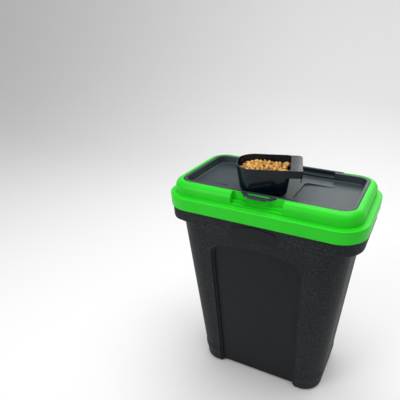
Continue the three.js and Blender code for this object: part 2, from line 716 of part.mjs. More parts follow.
// Flat grip at the rim with a flange turned down on three sides and one rib at its front corner.
function scoopGrip() {
  const start = SCOOP_LENGTH / 2 - 8;
  const end = SCOOP_LENGTH / 2 + GRIP_REACH;
  const half = GRIP_WIDTH / 2;
  const low = SCOOP_HEIGHT - GRIP_FLANGE;
  const plate = boxSolid([start, -half, SCOOP_HEIGHT - GRIP_THICKNESS], [end, half, SCOOP_HEIGHT]);
  const front = boxSolid([start, -half, low], [end, -half + GRIP_THICKNESS, SCOOP_HEIGHT - 1]);
  const back = boxSolid([start, half - GRIP_THICKNESS, low], [end, half, SCOOP_HEIGHT - 1]);
  const face = boxSolid([end - GRIP_THICKNESS, -half, low], [end, half, SCOOP_HEIGHT - 1]);
  const rib = boxSolid([end - GRIP_THICKNESS, -half, SCOOP_HEIGHT - GRIP_RIB], [end, -half + 4, low + 1]);
  return plate.add(front).add(back).add(face).add(rib);
}

function scoop() {
  const cup = scoopForm(0, SCOOP_HEIGHT).add(scoopGrip());
  return toGeometry(cup.subtract(scoopForm(SCOOP_WALL, SCOOP_HEIGHT + 4)));
}

// ---------------------------------------------------------------- assembly

const materials = {
  tub: new THREE.MeshStandardMaterial({ color: '#26282b', roughness: 0.55, metalness: 0 }),
  frame: new THREE.MeshStandardMaterial({ color: '#33d035', roughness: 0.35, metalness: 0 }),
  flap: new THREE.MeshStandardMaterial({ color: '#3a4046', roughness: 0.4, metalness: 0 }),
  seal: new THREE.MeshStandardMaterial({ color: '#1a1b1c', roughness: 0.8, metalness: 0 }),
  pin: new THREE.MeshStandardMaterial({ color: '#2c2f33', roughness: 0.45, metalness: 0 }),
  scoop: new THREE.MeshStandardMaterial({ color: '#10171f', roughness: 0.2, metalness: 0 }),
};

function addPiece(parent, name, geometry, material) {
  const mesh = new THREE.Mesh(geometry, material);
  mesh.name = name;
  parent.add(mesh);
}

const bin = new THREE.Group();
addPiece(bin, 'bin_body', binBody(), materials.tub);
addPiece(bin, 'rim_seal', rimSeal(), materials.seal);
addPiece(bin, 'lid_frame', lidFrame(), materials.frame);
addPiece(bin, 'flap', flap(), materials.flap);
addPiece(bin, 'flap_seal', flapSeal(), materials.seal);
addPiece(bin, 'hinge_pin_left', hingePin(-1), materials.pin);
addPiece(bin, 'hinge_pin_right', hingePin(1), materials.pin);

const scoopPlace = new THREE.Group();
scoopPlace.position.set(SCOOP_X, FLAP_FRONT + SCOOP_FRONT_INSET + scoopReach(), TRAY_LEVEL + TOUCH);
scoopPlace.rotation.z = THREE.MathUtils.degToRad(SCOOP_TURN);
addPiece(scoopPlace, 'scoop', scoop(), materials.scoop);
bin.add(scoopPlace);

export default bin;
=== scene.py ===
"""Pet food bin: a grained black tub, a green lid frame, a charcoal flap with a latch loop, and a
glossy scoop of kibble standing on the flap. Metres, +Z up, latch side towards -Y."""

import math

import bpy
from mathutils import Matrix, Vector


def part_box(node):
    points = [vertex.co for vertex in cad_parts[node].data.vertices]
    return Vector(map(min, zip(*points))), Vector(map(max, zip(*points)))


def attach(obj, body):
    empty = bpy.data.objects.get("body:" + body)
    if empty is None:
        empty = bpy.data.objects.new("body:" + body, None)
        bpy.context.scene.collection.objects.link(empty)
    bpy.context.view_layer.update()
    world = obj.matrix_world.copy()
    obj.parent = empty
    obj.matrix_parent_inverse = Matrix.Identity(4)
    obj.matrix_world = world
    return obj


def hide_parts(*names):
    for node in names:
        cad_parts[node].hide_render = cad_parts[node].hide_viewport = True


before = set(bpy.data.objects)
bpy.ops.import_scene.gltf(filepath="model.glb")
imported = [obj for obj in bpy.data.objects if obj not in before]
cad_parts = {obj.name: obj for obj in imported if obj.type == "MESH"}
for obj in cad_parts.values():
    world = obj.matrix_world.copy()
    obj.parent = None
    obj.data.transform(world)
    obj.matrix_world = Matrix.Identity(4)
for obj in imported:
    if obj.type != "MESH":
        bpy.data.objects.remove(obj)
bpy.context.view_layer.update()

MM = 0.001

# Gap between pieces that touch, and how far a cutter reaches past what it opens.
SLIP = 0.3 * MM
PAST = 5 * MM

# ---------------------------------------------------------------- camera

CAMERA_PLACE = (0.3077, -0.8193, 0.9476)
CAMERA_YAW = math.radians(23.9)
CAMERA_PITCH = math.radians(33.9)
CAMERA_ROLL = math.radians(0.54)
SENSOR = 36.0
LENS = 33.93
SHIFT = (-0.1375, 0.15)


def make_camera():
    """The camera looks down on the bin from the front, to the right of its middle."""
    data = bpy.data.cameras.new("camera")
    data.sensor_width = SENSOR
    data.lens = LENS
    data.shift_x, data.shift_y = SHIFT
    data.clip_start, data.clip_end = 0.05, 50.0
    camera = bpy.data.objects.new("camera", data)
    bpy.context.scene.collection.objects.link(camera)
    level = math.cos(CAMERA_PITCH)
    across, ahead = -math.sin(CAMERA_YAW) * level, math.cos(CAMERA_YAW) * level
    forward = Vector((across, ahead, -math.sin(CAMERA_PITCH)))
    right = forward.cross(Vector((0.0, 0.0, 1.0))).normalized()
    up = right.cross(forward)
    turned_right = right * math.cos(CAMERA_ROLL) + up * math.sin(CAMERA_ROLL)
    turned_up = up * math.cos(CAMERA_ROLL) - right * math.sin(CAMERA_ROLL)
    turn = Matrix((turned_right, turned_up, -forward)).transposed()
    camera.matrix_world = Matrix.Translation(CAMERA_PLACE) @ turn.to_4x4()
    bpy.context.scene.camera = camera


make_camera()

# ---------------------------------------------------------------- sizes taken from the frame

FRAME_LOW, FRAME_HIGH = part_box("lid_frame")
TUB_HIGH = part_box("bin_body")[1]
PIN_LOW, PIN_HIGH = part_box("hinge_pin_right")
SCOOP_LOW, SCOOP_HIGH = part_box("scoop")
RIM_SEAL_LOW, RIM_SEAL_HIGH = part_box("rim_seal")
FLAP_SEAL_LOW, FLAP_SEAL_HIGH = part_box("flap_seal")

HALF_LENGTH = FRAME_HIGH.x
HALF_DEPTH = FRAME_HIGH.y
SKIRT_BOTTOM = FRAME_LOW.z
TOP = FRAME_HIGH.z
RIM = TUB_HIGH.z
HINGE_Y = (PIN_LOW.y + PIN_HIGH.y) / 2
HINGE_Z = (PIN_LOW.z + PIN_HIGH.z) / 2
PIN_RADIUS = (PIN_HIGH.z - PIN_LOW.z) / 2

# Lid frame.
CORNER = 66 * MM
SKIRT = 31 * MM
LEDGE_WIDTH = 14.5 * MM
SHOULDER = 17.5 * MM
COLLAR_TOP = 2 * MM
WALL = 2.5 * MM
EDGE_ROUND = 2.8 * MM
SEAT_WIDTH = 11.7 * MM
SEAT = FLAP_SEAL_LOW.z - SLIP
LEDGE = SKIRT_BOTTOM + SKIRT
COLLAR_INNER = LEDGE_WIDTH + SHOULDER + COLLAR_TOP
SKIRT_FOOT_INSIDE = 0.5 * MM
SKIRT_FOOT_OUTSIDE = 0.6 * MM
COLLAR_EDGE = 0.6 * MM
LEDGE_FILLET = 2.2 * MM
HOLLOW_OVERLAP = 2 * MM
RIM_CORD_WIDTH = 4 * MM
RIM_CORD_INSET = 8 * MM
HOLLOW_HEADROOM = 0.4 * MM
FRAME_BEVEL = 0.9 * MM

# Tub.
TUB_WALL = 3 * MM
TUB_CORNER = 70 * MM
TUB_END_INSET = 24 * MM
TUB_SIDE_INSET = 4 * MM
TUB_END_TAPER = 33 * MM
TUB_SIDE_TAPER = 30 * MM
SIDE_LEAN = math.atan(TUB_SIDE_TAPER / RIM)
BAND_TOP = SKIRT_BOTTOM - SLIP
BAND_HEIGHT = 35 * MM
BAND_INSET = 3 * MM
BAND_ROUND = 6.5 * MM
BAND_FADE_START = math.radians(4)
BAND_FADE_END = math.radians(34)
RIM_INSET = 3.5 * MM
RIM_WALL = 2.5 * MM
RIM_LIP = 10 * MM
GUSSET_SIDE = HALF_DEPTH - CORNER - 2 * MM
FOOT_HEIGHT = 8 * MM
FOOT_ROUND = 9 * MM
END_ARCH = 6 * MM
FOOT_LENGTH = 69 * MM
FOOT_DEPTH = 52 * MM
BASE_LIP_TOP = 74 * MM
BASE_LIP = 2 * MM
RIM_ROUND = 1.6 * MM
GUSSET_HALF = 1.25 * MM

# Panel and pad.
PANEL_MARGIN = 15 * MM
PANEL_TOP = 461 * MM
PANEL_CROWN = 7 * MM
PANEL_CORNER = 46 * MM
PANEL_DEPTH = 10 * MM
PAD_HALF = 57 * MM
PAD_TOP = 521 * MM
PAD_CROWN = 9 * MM
PAD_HEIGHT = 34 * MM
PAD_RAISE = 1.6 * MM
PAD_FOOT = 0.05 * MM
PAD_ROOT = 1.5 * MM
PAD_EDGE = 0.9 * MM
PAD_EDGE_SHARE = 0.45

# The panel's edge as (offset from its outline, height over the face) in millimetres.
PANEL_EDGE = ((1.2, 30), (1.2, 0.05), (0.5, -0.15), (0.1, -0.7), (-0.4, -3.3), (-0.8, -3.9),
              (-1.6, -4.2), (-4.6, -4.6), (-5.2, -5.0), (-5.5, -5.7), (-6.1, -9.0), (-6.5, -9.6),
              (-7.4, -10))

# Flap.
FLAP_GAP = 1 * MM
FLAP_INSET = COLLAR_INNER + FLAP_GAP
FLAP_RIM = 8 * MM
FLAP_WALL = 2.3 * MM
TRAY_DEPTH = 18 * MM
TRAY_DRAFT = 3 * MM
TRAY_FILLET = 2.5 * MM
TRAY = TOP - TRAY_DEPTH
FLAP_BACK = HALF_DEPTH - FLAP_INSET
FLAP_FRONT = -FLAP_BACK
FLAP_SKIRT = TRAY_DEPTH + 3 * MM
FLAP_FOOT = 0.4 * MM
FLAP_EDGE = 1.2 * MM
FLAP_BEVEL = 0.6 * MM
FLAP_CORD_WIDTH = 3.2 * MM
UNDER_OVERLAP = 3 * MM
SHELF = TOP - 12 * MM
BACK_CUT = SHELF - FLAP_WALL - 1.2 * MM
HINGE_HALF = HALF_LENGTH - CORNER - 41 * MM
BACK_OPENING_HALF = HINGE_HALF - 20 * MM
KNUCKLE = 3.4 * MM
PIN_PLAY = SLIP
PIN_LENGTH = PIN_HIGH.x - PIN_LOW.x
PIN_IN_EAR = 9 * MM
EAR_GAP = 0.5 * MM
HINGE_CUT_FRONT = 3 * MM
BOSS_SETBACK = 1.2 * MM
BOSS_PAST_PIN = 2.5 * MM
BOSS_WALL = 2 * MM
BORE_PAST = 1 * MM

# Latch loop and its recess.
RECESS_HALF = 63.5 * MM
RECESS_FLOOR = TOP - 20 * MM
RECESS_STEP = 5 * MM
LOOP_BASE = 40 * MM
LOOP_TIP = 32 * MM
LOOP_REACH = 17 * MM
LOOP_THICKNESS = 2.5 * MM
LOOP_TOP = TOP - 0.8 * MM
SLOT_HALF = 26.5 * MM
SLOT_DEPTH = 7.5 * MM
SLOT_SETBACK = 1 * MM
CATCH_CLEARANCE = 0.5 * MM
LIP_HALF = 22 * MM
LIP_DROP = 6 * MM
RECESS_STEP_BACK = 8 * MM
GATE_SIDE = 3 * MM
GATE_BACK = 2 * MM
GATE_DROP = 1 * MM
LOOP_ROOT = 2 * MM

# Pocket and notch in the tray floor.
POCKET_START = 60 * MM
POCKET_LENGTH = 88 * MM
POCKET_LOW = -57 * MM
POCKET_HIGH = 49 * MM
POCKET_DEPTH = 4 * MM
POCKET_ROUND = 13 * MM
NOTCH_START = -108 * MM
NOTCH_LENGTH = 48 * MM
NOTCH_SIDE = -50 * MM
NOTCH_BREADTH = 7 * MM
NOTCH_DEPTH = 1.2 * MM

# Scoop.
SCOOP_HALF = (63 * MM, 54 * MM)
SCOOP_HEIGHT = SCOOP_HIGH.z - SCOOP_LOW.z
SCOOP_WALL = 2 * MM
SCOOP_DRAFT = 6 * MM
SCOOP_CORNER = 40 * MM
SCOOP_GRIP_CORNER = 12 * MM
SCOOP_BOTTOM = 26 * MM
SCOOP_TURN = math.radians(18.5)
GRIP_REACH = 25 * MM
GRIP_HALF = 53 * MM
GRIP_WALL = 2.4 * MM
GRIP_FLANGE = 17 * MM
GRIP_RIB = 27 * MM
GRIP_BACK_ROUND = 12 * MM
GRIP_FRONT_ROUND = 4 * MM
GRIP_ROOT = 14 * MM
RIB_DEEP = 2.2 * MM
RIB_WIDE = 3 * MM
SCOOP_BEVEL = 0.5 * MM
SCOOP_PLACE = Vector((-15.7 * MM, -41.83 * MM, SCOOP_LOW.z))

# Facets.
CORNER_STEPS = 16
ARC_STEPS = 8
ROUND_STEPS = 48
CORD_SIDES = 20

# ---------------------------------------------------------------- outlines and solids


class Outline:
    """A rounded rectangle about the origin, whose two right-hand corners may have their own radius."""

    def __init__(self, half_x, half_y, radius, right_radius=None):
        self.half_x, self.half_y, self.radius = half_x, half_y, radius
        self.right_radius = radius if right_radius is None else right_radius

    def inset(self, distance):
        radius = max(self.radius - distance, 1 * MM)
        right_radius = max(self.right_radius - distance, 1 * MM)
        return Outline(self.half_x - distance, self.half_y - distance, radius, right_radius)

    def ring(self, level, steps=CORNER_STEPS):
        """Points anticlockwise seen from above, one run of steps + 1 for each corner."""
        points = []
        for quarter, (sign_x, sign_y) in enumerate(((1, 1), (-1, 1), (-1, -1), (1, -1))):
            radius = self.right_radius if sign_x > 0 else self.radius
            centre_x = sign_x * (self.half_x - radius)
            centre_y = sign_y * (self.half_y - radius)
            for step in range(steps + 1):
                angle = (quarter + step / steps) * math.pi / 2
                x = centre_x + radius * math.cos(angle)
                y = centre_y + radius * math.sin(angle)
                points.append(Vector((x, y, level)))
        return points


FRAME_OUTLINE = Outline(HALF_LENGTH, HALF_DEPTH, CORNER)
FLAP_OUTLINE = FRAME_OUTLINE.inset(FLAP_INSET)
SCOOP_OUTLINE = Outline(SCOOP_HALF[0], SCOOP_HALF[1], SCOOP_CORNER, SCOOP_GRIP_CORNER)


def tub_outline(level):
    """The tub's wall at a level: its ends and sides draw in towards the floor."""
    drop = (RIM - level) / RIM
    half_x = HALF_LENGTH - TUB_END_INSET - TUB_END_TAPER * drop
    half_y = HALF_DEPTH - TUB_SIDE_INSET - TUB_SIDE_TAPER * drop
    return Outline(half_x, half_y, TUB_CORNER - TUB_END_TAPER * drop * 0.5)


def arc(centre, radius, start, end, steps=ARC_STEPS):
    """Points on an arc in a section's plane, from one angle in degrees to another."""
    points = []
    for step in range(steps + 1):
        angle = math.radians(start + (end - start) * step / steps)
        points.append((centre[0] + radius * math.cos(angle), centre[1] + radius * math.sin(angle)))
    return points


def new_object(name, points, faces):
    mesh = bpy.data.meshes.new(name)
    mesh.from_pydata([tuple(point) for point in points], [], faces)
    mesh.validate()
    made = bpy.data.objects.new(name, mesh)
    bpy.context.scene.collection.objects.link(made)
    return made


def skin(name, rings, closed):
    """Rings of points joined one to the next: a closed loop of rings, or a stack capped at both ends."""
    count = len(rings[0])
    points = [point for ring in rings for point in ring]
    faces = []
    bands = len(rings) if closed else len(rings) - 1
    for band in range(bands):
        low = band * count
        high = (band + 1) % len(rings) * count
        for side in range(count):
            after = (side + 1) % count
            faces.append((low + side, low + after, high + after, high + side))
    if not closed:
        faces.append(tuple(reversed(range(count))))
        last = (len(rings) - 1) * count
        faces.append(tuple(range(last, last + count)))
    return new_object(name, points, faces)


def stack(name, outline, steps):
    """A solid stack of (inset, level) steps of one outline, bottom first."""
    return skin(name, [outline.inset(inset).ring(level) for inset, level in steps], False)


def tub_stack(name, steps):
    """A solid stack of (inset, level) steps that follow the tub's taper."""
    return skin(name, [tub_outline(level).inset(inset).ring(level) for inset, level in steps], False)


def section_ring(name, outline, section):
    """A ring whose section is (inset, level) points: outside upwards, top inwards, inside down."""
    return skin(name, [outline.inset(inset).ring(level) for inset, level in section], True)


def box(name, low, high):
    """A box between two corners."""
    ring = ((low[0], low[1]), (high[0], low[1]), (high[0], high[1]), (low[0], high[1]))
    rings = [[Vector((x, y, z)) for x, y in ring] for z in (low[2], high[2])]
    return skin(name, rings, False)


def prism_along_x(name, section, start, end):
    """A solid with a (y, z) section, anticlockwise seen from +X, between two places along X."""
    rings = [[Vector((x, y, z)) for y, z in section] for x in (start, end)]
    return skin(name, rings, False)


def bar(name, radius, start, end, y=HINGE_Y, z=HINGE_Z):
    """A round bar along X."""
    section = arc((y, z), radius, 0, 360, ROUND_STEPS)[:-1]
    return prism_along_x(name, section, start, end)


def remove(thing):
    mesh = thing.data
    bpy.data.objects.remove(thing)
    bpy.data.meshes.remove(mesh)


def settle(thing):
    """Turns an object's modifiers into its mesh."""
    evaluated = thing.evaluated_get(bpy.context.evaluated_depsgraph_get())
    made = bpy.data.meshes.new_from_object(evaluated)
    old = thing.data
    thing.modifiers.clear()
    thing.data = made
    made.name = thing.name
    bpy.data.meshes.remove(old)
    return thing


def combine(thing, operation, *others):
    """Joins others to an object, or cuts them from it, and uses them up."""
    for other in others:
        modifier = thing.modifiers.new("combine", "BOOLEAN")
        modifier.operation = operation
        modifier.object = other
        modifier.solver = "EXACT"
        settle(thing)
        remove(other)
    return thing


def cut(thing, *others):
    return combine(thing, "DIFFERENCE", *others)


def join(thing, *others):
    return combine(thing, "UNION", *others)


def flipped(thing, name):
    """A copy turned half a turn about Z, for what is alike at both ends or on both sides."""
    copy = bpy.data.objects.new(name, thing.data.copy())
    copy.data.transform(Matrix.Rotation(math.pi, 4, "Z"))
    bpy.context.scene.collection.objects.link(copy)
    return copy


def weld(thing):
    merge = thing.modifiers.new("weld", "WELD")
    merge.merge_threshold = 0.02 * MM


def round_edges(thing, width, segments=2, sharper_than=35):
    """Rounds the edges that turn by more than an angle, then shades what lies between them."""
    weld(thing)
    bevel = thing.modifiers.new("bevel", "BEVEL")
    bevel.limit_method = "ANGLE"
    bevel.angle_limit = math.radians(sharper_than)
    bevel.width = width
    bevel.segments = segments
    bevel.use_clamp_overlap = True
    bevel.miter_outer = "MITER_ARC"
    settle(thing)
    shade(thing)


def shade(thing, sharper_than=42):
    thing.data.shade_smooth()
    thing.data.set_sharp_from_angle(angle=math.radians(sharper_than))
    weighted = thing.modifiers.new("weighted", "WEIGHTED_NORMAL")
    weighted.keep_sharp = True
    weighted.weight = 80
    settle(thing)


# ---------------------------------------------------------------- tub


def band_share(point_index):
    """How far the shoulder band stands out at a point of the outline: fully at the ends and corners,
    and not at all along the long faces."""
    quarter, step = divmod(point_index, CORNER_STEPS + 1)
    angle = (quarter + step / CORNER_STEPS) * math.pi / 2
    turned = math.acos(min(1.0, abs(math.sin(angle))))
    share = (turned - BAND_FADE_START) / (BAND_FADE_END - BAND_FADE_START)
    share = min(1.0, max(0.0, share))
    return share * share * (3 - 2 * share)


def blended(inner, outer, share):
    pairs = enumerate(zip(inner, outer))
    return [low + (high - low) * share(index) for index, (low, high) in pairs]


def tub_wall_rings():
    """The wall from the floor to the underside of the shoulder band, with rounded feet and base lip."""
    steps = [(FOOT_ROUND + x, FOOT_ROUND + z) for x, z in arc((0, 0), FOOT_ROUND, 270, 180)]
    for start, end, below, above in ((30, 48, 0, BASE_LIP), (52, 74, BASE_LIP, 0)):
        for step in range(7):
            share = step / 6
            rise = share * share * (3 - 2 * share)
            level = (start + (end - start) * share) * MM
            steps.append((-below - (above - below) * rise, level))
    band_low = BAND_TOP - BAND_HEIGHT
    for step in range(1, 8):
        level = BASE_LIP_TOP + (band_low - 8 * MM - BASE_LIP_TOP) * step / 7
        steps.append((0, level))
    return [tub_outline(level).inset(inset).ring(level) for inset, level in steps]


def band_rings():
    """The shoulder band: a rounded lower edge, an upright face and a ledge back to the neck."""
    low = BAND_TOP - BAND_HEIGHT
    made = [tub_outline(low).ring(low - 0.8 * MM)]
    lower_edge = [(BAND_INSET + BAND_ROUND + x, low + BAND_ROUND + z)
                  for x, z in arc((0, 0), BAND_ROUND, 270, 180)]
    upper_edge = [(BAND_INSET, BAND_TOP - 1.2 * MM), (BAND_INSET + 0.35 * MM, BAND_TOP - 0.35 * MM),
                  (BAND_INSET + 1.2 * MM, BAND_TOP)]
    for inset, level in lower_edge + upper_edge:
        wall = tub_outline(level).ring(level)
        outer = FRAME_OUTLINE.inset(inset).ring(level)
        made.append(blended(wall, outer, band_share))
    return made


def hook_ring(reach, rise):
    """A ring of the rolled rim's underside: how far it reaches out from the neck, and how far it
    rises above the hook's lower edge, each as a share of the whole."""
    low = RIM - RIM_LIP
    walls = tub_outline(low).ring(low)
    outers = FRAME_OUTLINE.inset(RIM_INSET + RIM_WALL).ring(low)
    ring = []
    for index, (wall, outer) in enumerate(zip(walls, outers)):
        share = band_share(index)
        lift = Vector((0, 0, (RIM_LIP - RIM_WALL) * rise * share))
        ring.append(wall.lerp(outer, reach * share) + lift)
    return ring


def rim_rings():
    """The neck above the band, and the rim rolled outwards and down round its top."""
    low = RIM - RIM_LIP
    made = [tub_outline(level).ring(level) for level in (BAND_TOP + 0.05 * MM, low - 0.2 * MM)]
    made += [hook_ring(0, 1), hook_ring(1, 1), hook_ring(1, 0)]
    made.append(FRAME_OUTLINE.inset(RIM_INSET).ring(low + 0.05 * MM))
    for x, z in arc((RIM_INSET + RIM_ROUND, RIM - RIM_ROUND), RIM_ROUND, 180, 90, 5):
        made.append(FRAME_OUTLINE.inset(x).ring(z))
    made.append(FRAME_OUTLINE.inset(RIM_INSET + 5 * MM).ring(RIM))
    return made


def tub_form():
    rings = tub_wall_rings() + band_rings() + rim_rings()
    return skin("bin_body_shell", rings, False)


def panel_outline(offset):
    """The arch-topped panel's edge in the face's own plane, moved outwards by an offset."""
    half = tub_outline(0).half_x - tub_outline(0).radius - PANEL_MARGIN
    points = [(half, -0.08)]
    side = [(half, PANEL_TOP - PANEL_CORNER), (half, PANEL_TOP), (half - PANEL_CORNER, PANEL_TOP)]
    crown = [side[2], (0, PANEL_TOP + 2 * PANEL_CROWN), (PANEL_CORNER - half, PANEL_TOP)]
    for curve, steps in ((side, 14), (crown, 24)):
        (x0, y0), (x1, y1), (x2, y2) = curve
        for step in range(steps + 1):
            t = step / steps
            point = ((1 - t) ** 2 * x0 + 2 * t * (1 - t) * x1 + t * t * x2,
                     (1 - t) ** 2 * y0 + 2 * t * (1 - t) * y1 + t * t * y2)
            if math.dist(point, points[-1]) > 0.01 * MM:
                points.append(point)
    right = [point for point in points if point[0] > 0.01 * MM]
    points = right + [(0, PANEL_TOP + PANEL_CROWN)] + [(-x, y) for x, y in reversed(right)]
    moved = []
    for index, (x, y) in enumerate(points):
        before = points[max(index - 1, 0)]
        after = points[min(index + 1, len(points) - 1)]
        along = Vector((after[0] - before[0], after[1] - before[1])).normalized()
        moved.append((x + along.y * offset, y - along.x * offset))
    return moved


def on_front_face(x, up, out):
    """A place given across, up and out from the leaning front face."""
    base = -tub_outline(0).half_y
    y = base - up * math.sin(SIDE_LEAN) - out * math.cos(SIDE_LEAN)
    return Vector((x, y, up * math.cos(SIDE_LEAN) - out * math.sin(SIDE_LEAN)))


def panel_cutter(name, grown=0.0):
    """What the panel takes out of the front face: two rounded steps down to a flat floor."""
    rings = []
    for offset, out in reversed(PANEL_EDGE):
        out = out * MM - grown if out < 20 else out * MM
        rings.append([on_front_face(x, up, out) for x, up in panel_outline(offset * MM + grown)])
    return skin(name, rings, False)


def front_pad():
    """The smooth raised arch above the front panel, fading into the face at its foot."""
    crown = [(-PAD_HALF + 2 * PAD_HALF * step / 24, 0) for step in range(25)]
    top = [(x, PAD_TOP + PAD_CROWN * (1 - (x / PAD_HALF) ** 2)) for x, _ in crown]
    low = PAD_TOP - PAD_HEIGHT
    outline = [(PAD_HALF, low)] + list(reversed(top)) + [(-PAD_HALF, low)]
    rings = []
    for shrink, out in ((0, -PAD_ROOT), (0, None), (PAD_EDGE, None)):
        ring = []
        for x, up in outline:
            sign = 1 if x > 0 else -1
            x_in = x - sign * shrink if abs(x) > PAD_HALF - shrink else x
            up_in = up - shrink if up > low else up + shrink
            share = max(0.0, (up_in - low) / PAD_HEIGHT)
            raised = PAD_FOOT + PAD_RAISE * share * (1 if shrink else PAD_EDGE_SHARE)
            ring.append(on_front_face(x_in, up_in, out if out is not None else raised))
        rings.append(ring)
    return skin("pad", rings, False)


def foot_arches():
    """The low arches under the floor between the feet, with rounded shoulders."""
    base = tub_outline(0)
    span_x = base.half_x - FOOT_LENGTH
    span_y = base.half_y - FOOT_DEPTH
    made = []
    for along, span, height in (("depth", span_x, FOOT_HEIGHT), ("length", span_y, END_ARCH)):
        left = arc((-span + height, 0), height, 90, 180, 6)
        right = arc((span - height, 0), height, 0, 90, 6)
        outline = [(-span, -PAST), (span, -PAST)] + right + left
        reach = HALF_LENGTH
        if along == "depth":
            rings = [[Vector((x, y, z)) for x, z in outline] for y in (reach, -reach)]
        else:
            rings = [[Vector((x, y, z)) for y, z in outline] for x in (-reach, reach)]
        made.append(skin("arch_along_" + along, rings, False))
    return made


def tub_cavity():
    """The inside of the tub, kept a wall away from the two panels."""
    floor = FOOT_HEIGHT + TUB_WALL
    steps = [(TUB_WALL + FOOT_ROUND + x, floor + FOOT_ROUND + z)
             for x, z in arc((0, 0), FOOT_ROUND, 270, 180)]
    steps += [(TUB_WALL, floor + (RIM - floor) * share) for share in (0.25, 0.5, 0.75)]
    steps += [(TUB_WALL, RIM - 1 * MM), (TUB_WALL, RIM + 10 * MM)]
    inside = tub_stack("cavity", steps)
    panel = panel_cutter("panel_inside", TUB_WALL)
    return cut(inside, flipped(panel, "panel_inside_back"), panel)


def gussets():
    """Four short webs under the rim's roll, two at each end."""
    made = []
    outer = HALF_LENGTH - RIM_INSET - RIM_WALL - 0.5 * MM
    inner = HALF_LENGTH - TUB_END_INSET - TUB_WALL + 1 * MM
    for end in (-1, 1):
        for side in (-1, 1):
            y = side * GUSSET_SIDE
            low_x, high_x = sorted((end * inner, end * outer))
            low = (low_x, y - GUSSET_HALF, BAND_TOP - 1 * MM)
            made.append(box("gusset", low, (high_x, y + GUSSET_HALF, RIM - 1 * MM)))
    return made


def make_tub():
    body = tub_form()
    panel = panel_cutter("panel")
    cut(body, flipped(panel, "panel_back"), panel, *foot_arches())
    join(body, front_pad(), *gussets())
    cut(body, tub_cavity())
    body.name = "tub"
    weld(body)
    settle(body)
    shade(body, 38)
    return body


# ---------------------------------------------------------------- lid frame


def shoulder_arc(radius, steps=14):
    centre = (LEDGE_WIDTH + SHOULDER, TOP - SHOULDER)
    return [(x, z) for x, z in arc(centre, radius, 180, 90, steps)]


def frame_form():
    """The frame's section, from the skirt's foot up over the ledge and shoulder to the flap's seat."""
    section = [(WALL, SKIRT_BOTTOM + SKIRT_FOOT_INSIDE), (WALL - SKIRT_FOOT_INSIDE, SKIRT_BOTTOM)]
    section += [(SKIRT_FOOT_OUTSIDE, SKIRT_BOTTOM), (0, SKIRT_BOTTOM + SKIRT_FOOT_OUTSIDE)]
    section += arc((EDGE_ROUND, LEDGE - EDGE_ROUND), EDGE_ROUND, 180, 90, 6)
    fillet_centre = (LEDGE_WIDTH - LEDGE_FILLET, LEDGE + LEDGE_FILLET)
    section += arc(fillet_centre, LEDGE_FILLET, -90, 0, 5)
    section += shoulder_arc(SHOULDER)[:-1]
    section += [(COLLAR_INNER - COLLAR_EDGE, TOP), (COLLAR_INNER, TOP - COLLAR_EDGE)]
    section += [(COLLAR_INNER, SEAT)]
    section += [(COLLAR_INNER + SEAT_WIDTH, SEAT), (COLLAR_INNER + SEAT_WIDTH, SEAT - WALL)]
    section += [(COLLAR_INNER - WALL, SEAT - WALL), (COLLAR_INNER - WALL, LEDGE - WALL)]
    section += [(WALL, LEDGE - WALL)]
    return section_ring("frame_shell", FRAME_OUTLINE, section)


def frame_hollow():
    """The space inside the collar, open below."""
    inner = COLLAR_INNER - WALL
    low = LEDGE - WALL - HOLLOW_OVERLAP
    section = [(inner, low), (LEDGE_WIDTH + WALL, low)]
    section += shoulder_arc(SHOULDER - WALL, 8)
    section += [(inner, TOP - WALL - HOLLOW_HEADROOM)]
    return section_ring("frame_hollow", FRAME_OUTLINE, section)


def recess_parts(name, margin):
    """The finger recess under the latch loop: its floor, and a lower step in front of it."""
    half = RECESS_HALF + margin
    floor = RECESS_FLOOR - margin
    back = -HALF_DEPTH + COLLAR_INNER - WALL + margin
    step_y = -HALF_DEPTH + LEDGE_WIDTH + RECESS_STEP_BACK + margin
    upper = box(name, (-half, -HALF_DEPTH, floor), (half, back, TOP + PAST))
    lower = box(name, (-half, -HALF_DEPTH, floor - RECESS_STEP), (half, step_y, TOP + PAST))
    return upper, lower


def loop_gate():
    """Where the loop crosses the collar's inner wall; inside its slot the wall stays up as a catch."""
    half = LOOP_BASE + GATE_SIDE
    front = -HALF_DEPTH + COLLAR_INNER - WALL - PAST
    level = LOOP_TOP - LOOP_THICKNESS - GATE_DROP
    gate = box("loop_gate", (-half, front, level), (half, FLAP_FRONT + GATE_BACK, TOP + PAST))
    catch_half = SLOT_HALF - CATCH_CLEARANCE
    catch_low = (-catch_half, front - 1 * MM, level - 1 * MM)
    catch_back = FLAP_FRONT - SLOT_SETBACK - CATCH_CLEARANCE
    catch_high = (catch_half, catch_back, LOOP_TOP - CATCH_CLEARANCE)
    return cut(gate, box("catch", catch_low, catch_high))


def hinge_cut(name, margin):
    """The collar is cut down between the two ears for the flap's back edge."""
    half = HINGE_HALF + EAR_GAP + margin
    low = (-half, FLAP_BACK - HINGE_CUT_FRONT, BACK_CUT - margin)
    return box(name, low, (half, HALF_DEPTH, TOP + PAST))


def bars_at_both_ends(name, radius, start, end):
    return bar(name, radius, start, end), bar(name, radius, -end, -start)


def ear_bosses():
    """A boss inside each ear that holds the outer end of its hinge pin."""
    start = HINGE_HALF + BOSS_SETBACK
    end = start + PIN_IN_EAR + BOSS_PAST_PIN
    return bars_at_both_ends("boss", PIN_RADIUS + PIN_PLAY + BOSS_WALL, start, end)


def ear_bores():
    start = HINGE_HALF - BORE_PAST
    end = HINGE_HALF + EAR_GAP + PIN_IN_EAR
    return bars_at_both_ends("ear_bore", PIN_RADIUS + PIN_PLAY, start, end)


